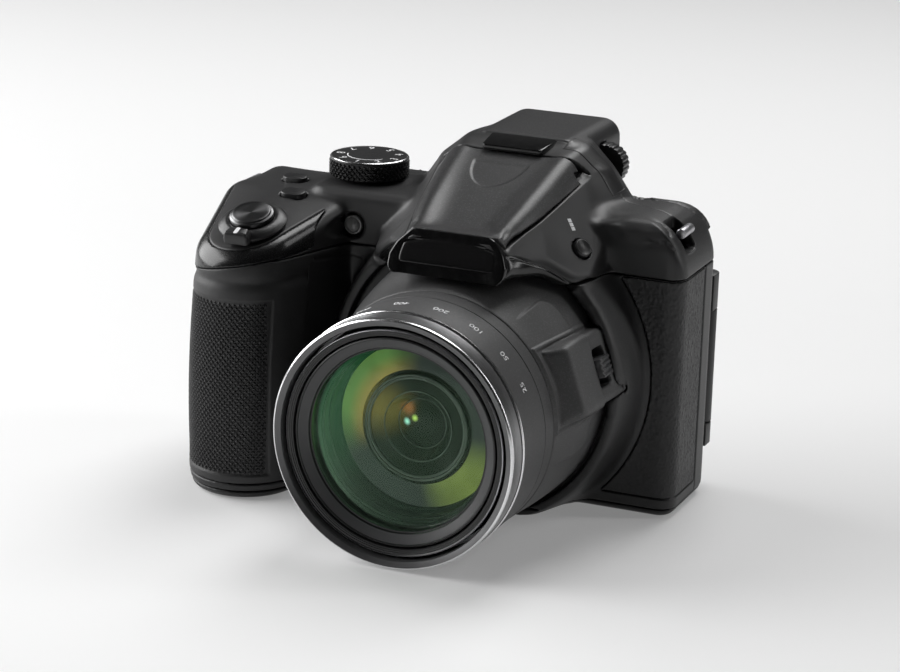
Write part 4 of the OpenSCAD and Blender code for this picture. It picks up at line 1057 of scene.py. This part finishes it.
# Satin panel before the dioptre dial
def band_panel():
    """A strip that follows the side of the hump, with its edges sunk in."""
    sunk, proud, below, soft = 0.3, 0.12, 0.7, 0.45
    axis_z, far = 60.0, 60.0
    first, last = math.degrees(math.atan2(BAND_X, 24)), 61.0
    edge = np.array([0, 0.1, 0.22, 0.36, 0.5])

    def stops(low, high, count, unit):
        inner = np.linspace(low + 0.9 * unit, high - 0.9 * unit, count)
        return np.concatenate([low + edge * unit, inner, (high - edge * unit)[::-1]])
    per_mm = math.degrees(1 / 25.0)
    turns = stops(first, last, 40, per_mm)
    places = stops(BAND_FRONT, BAND_BACK, 16, 1.0)
    top, bottom = [], []
    for y in places:
        for turn_deg in turns:
            a = math.radians(turn_deg)
            outward = Vector((math.sin(a), 0, math.cos(a)))
            start = (Vector((0, y, axis_z)) + outward * far) * MM
            hit, normal, _, _ = body_tree.ray_cast(start, -outward)
            inside = min(y - BAND_FRONT, BAND_BACK - y, (turn_deg - first) / per_mm,
                         (last - turn_deg) / per_mm)
            rise = -sunk + (sunk + proud) * float(ramp(inside, 0.0, soft))
            top.append(hit / MM + normal * rise)
            bottom.append(hit / MM - normal * below)
    rows, columns = len(places), len(turns)
    half = rows * columns
    faces = []
    for i in range(rows - 1):
        for j in range(columns - 1):
            a = i * columns + j
            quad = (a, a + 1, a + columns + 1, a + columns)
            faces += [quad, tuple(half + v for v in reversed(quad))]
    loop = list(range(columns)) + [i * columns + columns - 1 for i in range(1, rows)]
    loop += [(rows - 1) * columns + j for j in range(columns - 2, -1, -1)]
    loop += [i * columns for i in range(rows - 2, 0, -1)]
    faces += [(v, half + v, half + after, after) for v, after in zip(loop, loop[1:] + loop[:1])]
    return tidied(mesh_object("dioptre_panel", top + bottom, faces), 60)


# Studs of the grip and the mode dial
def studs(name, spots, half_u, half_v, height, root):
    """Low pyramids with flat tops. Each spot is a place, its normal and its upward direction."""
    points, faces = [], []
    crest = 0.34
    for place, normal, upward in spots:
        side = upward.cross(normal).normalized()
        up_side = normal.cross(side)
        start = len(points)
        for share, level in ((1.0, -root), (crest, height)):
            for u, v in ((1, 0), (0, 1), (-1, 0), (0, -1)):
                corner = side * (u * share * half_u) + up_side * (v * share * half_v)
                points.append(place + corner + normal * level)
        for k in range(4):
            after = (k + 1) % 4
            faces.append((start + k, start + after, start + 4 + after, start + 4 + k))
        faces.append((start + 4, start + 5, start + 6, start + 7))
        faces.append((start + 3, start + 2, start + 1, start))
    return mesh_object(name, points, faces)


def grip_spots():
    """Places of the grip's studs, in staggered rows on the smooth form."""
    pitch_u, pitch_v = 1.35, 0.72
    first, last = 167.5, 319.5
    fine = 1440
    ring = outline(POD_PLAN, 0.0, fine)[int(first * fine / 360):int(last * fine / 360)]
    along = np.concatenate([[0], np.cumsum(np.linalg.norm(np.diff(ring, axis=0), axis=1))])
    spots = []
    for row, z in enumerate(np.arange(GRIP_LOW + 0.75, GRIP_HIGH - 0.6, pitch_v)):
        for u in np.arange(0.8 + (row % 2) * pitch_u / 2, along[-1] - 0.8, pitch_u):
            point = Vector((np.interp(u, along, ring[:, 0]), np.interp(u, along, ring[:, 1]), z))
            place, normal, _, _ = body_tree.find_nearest(point * MM)
            spots.append((place / MM - normal * STUD_H, normal, Vector((0, 0, 1))))
    return spots


def own(obj, body, slot_name, *materials):
    """Lets a piece of detail ride on a body."""
    coat(obj, *materials)
    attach(obj, body)
    return obj


own(band_panel(), "camera_body", "button_black", SATIN)
grip_studs = studs("grip_studs", grip_spots(), half_u=0.66, half_v=0.7, height=STUD_H, root=0.1)
own(grip_studs, "camera_body", "rubber", RUBBER)

# Lens, turned about its axis
LENS_AXIS = Matrix.Translation((0, 0, LENS_Z)) @ Matrix.Rotation(math.radians(90), 4, "X")
LENS_SEGMENTS = 192
ring_profile = [(47.06, 27.9), (47.06, 29.0), (47.3, 29.18), (52.0, 29.18), (52.12, 29.0), (52.3, 29.0),
                (52.42, 29.18), (64.9, 29.18), (65.02, 28.95), (65.22, 28.95), (65.32, 29.25, 1),
                (65.55, 29.42, 1), (65.95, 29.42, 1), (66.15, 29.2), (66.25, 28.95), (66.5, 28.95),
                (66.6, 29.1, 2), (71.1, 29.1, 1), (71.35, 29.18, 1), (71.8, 29.12, 1), (72.08, 28.92, 1),
                (72.2, 28.66, 3), (72.05, 28.3, 3), (71.6, 27.4, 3), (71.1, 27.2), (68.6, 27.2),
                (68.2, 27.9)]
front_ring = turned("front_ring", ring_profile, LENS_AXIS, LENS_SEGMENTS)
stand_in(front_ring, "lens_ring", BARREL, SILVER, BAND, RIM)

zoom_profile = [(20, 24.7), (20, 26.5), (70.45, 26.5, 1), (70.8, 26.38, 1), (70.95, 26.15), (70.75, 25.95),
                (70.75, 25.6), (70.6, 25.5), (70.6, 25.2), (70.45, 25.1), (70.4, 24.85), (70.1, 24.7)]
stand_in(turned("zoom_tube", zoom_profile, LENS_AXIS, LENS_SEGMENTS), "zoom_barrel", SATIN, CAM)

tube_profile = [(27, 22.6), (27, 24.4), (69.9, 24.4), (70.25, 24.28), (70.38, 24.05), (70.3, 23.85),
                (70.1, 23.75, 1), (70.05, 23.6, 1), (68.95, 22.0, 1), (68.85, 21.75), (68.4, 21.5),
                (68.4, 21.2), (68.0, 21.45), (65.2, 21.45), (64.9, 21.2, 2), (64.6, 20.5, 2)]
wall_steps = 2
for i in range(wall_steps):
    s = 64.0 - i * 3.2
    tube_profile += [(s, 20.5, 2), (s - 0.15, 20.2, 2), (s - 0.5, 20.2, 2), (s - 2.9, 20.45, 2)]
tube_profile += [(57.2, 20.3, 2), (56.4, 19.7, 2), (51.7, 19.7), (47, 19.7), (47, 22.6)]
front_tube = turned("front_tube", tube_profile, LENS_AXIS, LENS_SEGMENTS)
stand_in(front_tube, "front_barrel", SATIN, GREY, WALL)


def dome_profile(r, edge, curve, thick, steps=20):
    """Meniscus of glass from its rim radius, edge place, radius of curvature and thickness."""
    def rise(q):
        return math.sqrt(curve * curve - q * q) - math.sqrt(curve * curve - r * r)
    reach = [max(r * i / steps, 0.01) for i in range(steps + 1)]
    front = [(edge + rise(q), q) for q in reach]
    return front + [(place - thick, q) for place, q in reversed(front)]


glass_profile = dome_profile(r=21.35, edge=68.2, curve=110.0, thick=1.2)
front_glass = turned("front_glass", glass_profile, LENS_AXIS, LENS_SEGMENTS)
stand_in(front_glass, "front_lens", FRONT_GLASS)
element_profile = [(47.1, 0.01, 3), (47.1, 19.5, 3), (55.6, 19.5)]
element_profile += [(55.6 + 1.9 * math.sin(0.5 * math.pi * t), 19.5 - 5.9 * t)
                    for t in np.linspace(0.05, 1, 12)]
element_profile += [(57.3, 13.5, 1), (56.6, 13.3, 1), (56.6, 12.75, 1), (57.9, 12.65, 2), (58.15, 12.45, 2),
                    (58.15, 12.2, 2), (57.95, 12.1, 1), (57.8, 12.0, 2), (57.95, 11.9, 2), (57.9, 11.6, 2),
                    (57.6, 11.4, 1)]
element_profile += [(57.2 - 0.6 * t, 11.3 - 2.8 * t, 1) for t in np.linspace(0, 1, 6)]
element_profile += [(56.9, 8.4, 2), (56.95, 8.25, 2), (56.8, 8.1, 1), (55.8, 7.8, 1), (54.2, 6.0, 2),
                    (54.35, 5.85, 2), (54.2, 5.7, 1), (53.2, 5.4, 1)]
element_profile += [(53.2 + 1.0 * (1 - (r / 5.2) ** 2), r, 1) for r in (5.2, 4, 3, 2, 1, 0.01)]
inner_element = turned("inner_element", element_profile, LENS_AXIS, LENS_SEGMENTS)
stand_in(inner_element, "second_lens", ELEMENT, DEEP, INNER_RING, SATIN)

# Controls on the grip
SHUTTER_AT = Matrix.Translation((-53.5, -33.5, 64.478)) @ Matrix.Rotation(math.radians(19), 4, "X")
cap_profile = [(1.4, 0.01), (1.4, 5.0), (1.6, 5.24), (2.9, 5.3), (3.25, 5.2), (3.4, 4.95), (3.46, 4.72),
               (3.8, 4.55), (3.88, 4.4), (3.8, 3.4), (3.7, 2.0), (3.66, 0.01)]
cap = turned("shutter_cap", cap_profile, Matrix.Identity(4))
cap.matrix_world = Matrix.Translation(SHUTTER_AT.translation * MM) @ SHUTTER_AT.to_3x3().to_4x4()
stand_in(cap, "shutter_button", SPUN)

DIAL_AT = Matrix.Translation((-37.8, -2, 72.1))
DIAL_SIDE = 9.3
DIAL_TOP = 4.82
dial_profile = [(-4, 0.01), (-4, 3.4), (0, 3.4), (0, 9.0), (0.25, DIAL_SIDE), (4.05, DIAL_SIDE), (4.2, 9.6),
                (4.5, 9.62), (4.7, 9.5, 1), (4.84, 9.34, 1), (4.9, 9.16), (4.9, 9.06), (DIAL_TOP, 8.96),
                (DIAL_TOP, 0.01)]
stand_in(turned("dial_drum", dial_profile, DIAL_AT), "mode_dial", SATIN, SILVER)


def dial_spots():
    """Places of the studs round the mode dial."""
    count, rows = 44, 5
    spots = []
    for row in range(rows):
        for i in range(count):
            angle = 2 * math.pi * (i + 0.5 * (row % 2)) / count
            outward = Vector((math.cos(angle), math.sin(angle), 0))
            place = DIAL_AT @ (outward * DIAL_SIDE + Vector((0, 0, 0.75 + row * 0.7)))
            spots.append((place, outward, Vector((0, 0, 1))))
    return spots


dial_studs = studs("dial_studs", dial_spots(), half_u=0.68, half_v=0.68, height=0.46, root=0.1)
own(dial_studs, "mode_dial", "body_black", SATIN)


def digit_points(text, size, place, thick=0.05):
    """Solid of a short plain text, centred on the matrix place."""
    curve = bpy.data.curves.new("text", "FONT")
    curve.body = text
    curve.size = size
    curve.extrude = thick / 2
    curve.align_x = "CENTER"
    curve.align_y = "CENTER"
    maker = bpy.data.objects.new("text", curve)
    scene.collection.objects.link(maker)
    mesh = bpy.data.meshes.new_from_object(maker.evaluated_get(bpy.context.evaluated_depsgraph_get()))
    bpy.data.objects.remove(maker)
    points = [place @ v.co for v in mesh.vertices]
    return points, [tuple(p.vertices) for p in mesh.polygons]


def gathered(name, solids):
    """One object from several lists of points and faces."""
    points, faces = [], []
    for more_points, more_faces in solids:
        faces += [tuple(v + len(points) for v in face) for face in more_faces]
        points += more_points
    return mesh_object(name, points, faces)


def arc_points(place, inner, outer, first, last, thick=0.05, steps=24):
    """Solid of a flat arc about the matrix place, between two angles in degrees."""
    points, faces = [], []
    for i, a in enumerate(np.radians(np.linspace(first, last, steps + 1))):
        for r, h in ((inner, 0), (outer, 0), (outer, thick), (inner, thick)):
            points.append(place @ Vector((r * math.cos(a), r * math.sin(a), h)))
        if i:
            start = 4 * i
            for k in range(4):
                after = (k + 1) % 4
                faces.append((start - 4 + k, start - 4 + after, start + after, start + k))
    end = 4 * steps
    return points, faces + [(3, 2, 1, 0), (end, end + 1, end + 2, end + 3)]


def dial_marks():
    """Plain numbers and an arc on the top of the mode dial."""
    solids = []
    marks = 9
    for i in range(marks):
        spin = Matrix.Rotation(2 * math.pi * i / marks, 4, "Z")
        place = DIAL_AT @ spin @ Matrix.Translation((0, -7.3, DIAL_TOP + 0.03))
        solids.append(digit_points(str(i + 1), size=3.0, place=place))
    top = DIAL_AT @ Matrix.Translation((0, 0, DIAL_TOP))
    solids.append(arc_points(top, inner=5.2, outer=5.5, first=190, last=330))
    return gathered("dial_marks", solids)


own(dial_marks(), "mode_dial", "lamp_clear", PRINT)


def ring_marks():
    """Plain numbers round the top of the lens ring, to be read from behind."""
    solids = []
    for number, turn_deg in (("25", 62), ("50", 46), ("100", 29), ("200", 11), ("400", -8), ("800", -27)):
        a = math.radians(turn_deg)
        normal = Vector((math.sin(a), 0, math.cos(a)))
        ahead = Vector((0, -1, 0))
        turn_to = Matrix((ahead.cross(normal), ahead, normal)).transposed().to_4x4()
        place = Matrix.Translation(Vector((0, -58.6, LENS_Z)) + normal * RING_R) @ turn_to
        solids.append(digit_points(number, size=2.5, place=place, thick=0.14))
    return gathered("ring_marks", solids)


own(ring_marks(), "camera_body", "lamp_clear", PRINT)

# Zoom lever: a sloped ring with a thumb tab
lever_profile = [(-4.5, 2.35), (-4.5, 3.0), (0.5, 3.0), (0.5, 7.9), (0.75, 8.2), (1.1, 8.18), (1.75, 7.5),
                 (2.25, 6.5), (2.4, 5.9), (2.3, 5.55), (0.7, 5.5), (0.62, 2.35)]


def slab(name, circles, levels, place):
    """Rounded block from circles, with levels of (height, inset), set down by the matrix place."""
    rings = [flat(outline(circles, inset, 64), h) for h, inset in levels]
    return loft(name, [[place @ Vector(point) for point in ring] for ring in rings])


TAB_LEVELS = [(0.7, 0), (1.7, 0.03), (2.5, 0.18), (3.05, 0.4), (3.4, 0.66), (3.5, 0.82)]
tab_circles = [(-2.4, -8.8, 0.9), (2.4, -8.8, 0.9), (-2.0, -6.9, 0.9), (2.0, -6.9, 0.9)]
tab = slab("lever_tab", tab_circles, TAB_LEVELS, SHUTTER_AT)
lever = joined("lever_ring", [turned("lever_turned", lever_profile, SHUTTER_AT), tab])
stand_in(tidied(lever), "zoom_lever", SATIN)
seat_profile = [(-2.6, 3.3), (-2.6, 7.3), (0.1, 7.3), (0.35, 7.05), (0.35, 3.3)]
own(turned("lever_seat", seat_profile, SHUTTER_AT), "camera_body", "button_black", SATIN)
stripe_circles = [(-0.2, -8.8, 0.3), (0.2, -8.8, 0.3), (-0.2, -7.0, 0.3), (0.2, -7.0, 0.3)]
stripe = slab("lever_stripe", stripe_circles, [(3.4, 0), (3.56, 0)], SHUTTER_AT)
own(tidied(stripe), "zoom_lever", "lamp_clear", PRINT)

# Flash button with a flat face, and its small label
BUTTON_PLACE = Vector((24, -19, 65.6))
BUTTON_OUT = Vector((0.72, -0.33, 0.61)).normalized()
BUTTON_AT = Matrix.Translation(BUTTON_PLACE) @ BUTTON_OUT.to_track_quat("Z", "Y").to_matrix().to_4x4()
button_profile = [(-3.4, 0.01), (-3.4, 2.2), (0.25, 2.28), (0.5, 2.2), (0.66, 2.0), (0.66, 1.85),
                  (0.5, 1.6), (0.44, 0.01)]
stand_in(turned("flash_button_cap", button_profile, BUTTON_AT, 64), "flash_button", SATIN)


def label_marks():
    """Three small boxes of print on the hump above the flash button."""
    place, normal, _, _ = body_tree.find_nearest((BUTTON_PLACE + Vector((-3.6, 2.2, 4.8))) * MM)
    down = (BUTTON_PLACE - place / MM).normalized()
    side = down.cross(normal).normalized()
    along = normal.cross(side)
    at = Matrix((side, along, normal)).transposed().to_4x4()
    at.translation = place / MM
    return [slab(f"label_{i}", [(x, i * 1.1 + y, 0.1) for x in (-0.42, 0.42) for y in (-0.38, 0.38)],
                 [(-0.1, 0), (0.04, 0)], at) for i in (-1, 0, 1)]


own(tidied(joined("flash_label", label_marks())), "camera_body", "lamp_clear", PRINT)

# Focus lamp: a small ribbed lens
LAMP_PLACE = Matrix.Translation((LAMP_AT[0], -17.2, LAMP_AT[1])) @ Matrix.Rotation(math.radians(90), 4, "X")
lamp_profile = [(-3.4, 0.01), (-3.4, 2.38), (-0.75, 2.38), (-0.5, 2.25), (-0.45, 1.95), (-0.7, 1.75),
                (-0.45, 1.5), (-0.25, 1.0), (-0.12, 0.5), (-0.1, 0.01)]
stand_in(turned("lamp_lens", lamp_profile, LAMP_PLACE, 48), "focus_lamp", LAMP)

for node, made, width in [
        ("power_button", SATIN, 0.25), ("function_button", SATIN, 0.25),
        ("movie_button", SATIN, 0.2), ("display_button", SATIN, 0.2),
        ("play_button", SATIN, 0.2), ("menu_button", SATIN, 0.2), ("delete_button", SATIN, 0.2),
        ("ok_button", SATIN, 0.2), ("multi_selector", SATIN, 0.25), ("command_dial", SATIN, 0.12),
        ("dioptre_dial", SATIN, 0.12), ("side_zoom_switch", GREY, 0.15), ("antenna_cover", GLOSS, 0.5),
        ("monitor_frame", BLACK, 0.3), ("monitor_screen", SCREEN, 0.1), ("hinge_arm", BLACK, 0.2),
        ("hinge_bracket", BLACK, 0.2), ("battery_door", BLACK, 0.15), ("connector_door", BLACK, 0.15),
        ("strap_lugs", CAM, 0.2)]:
    bevelled(node, made, width)
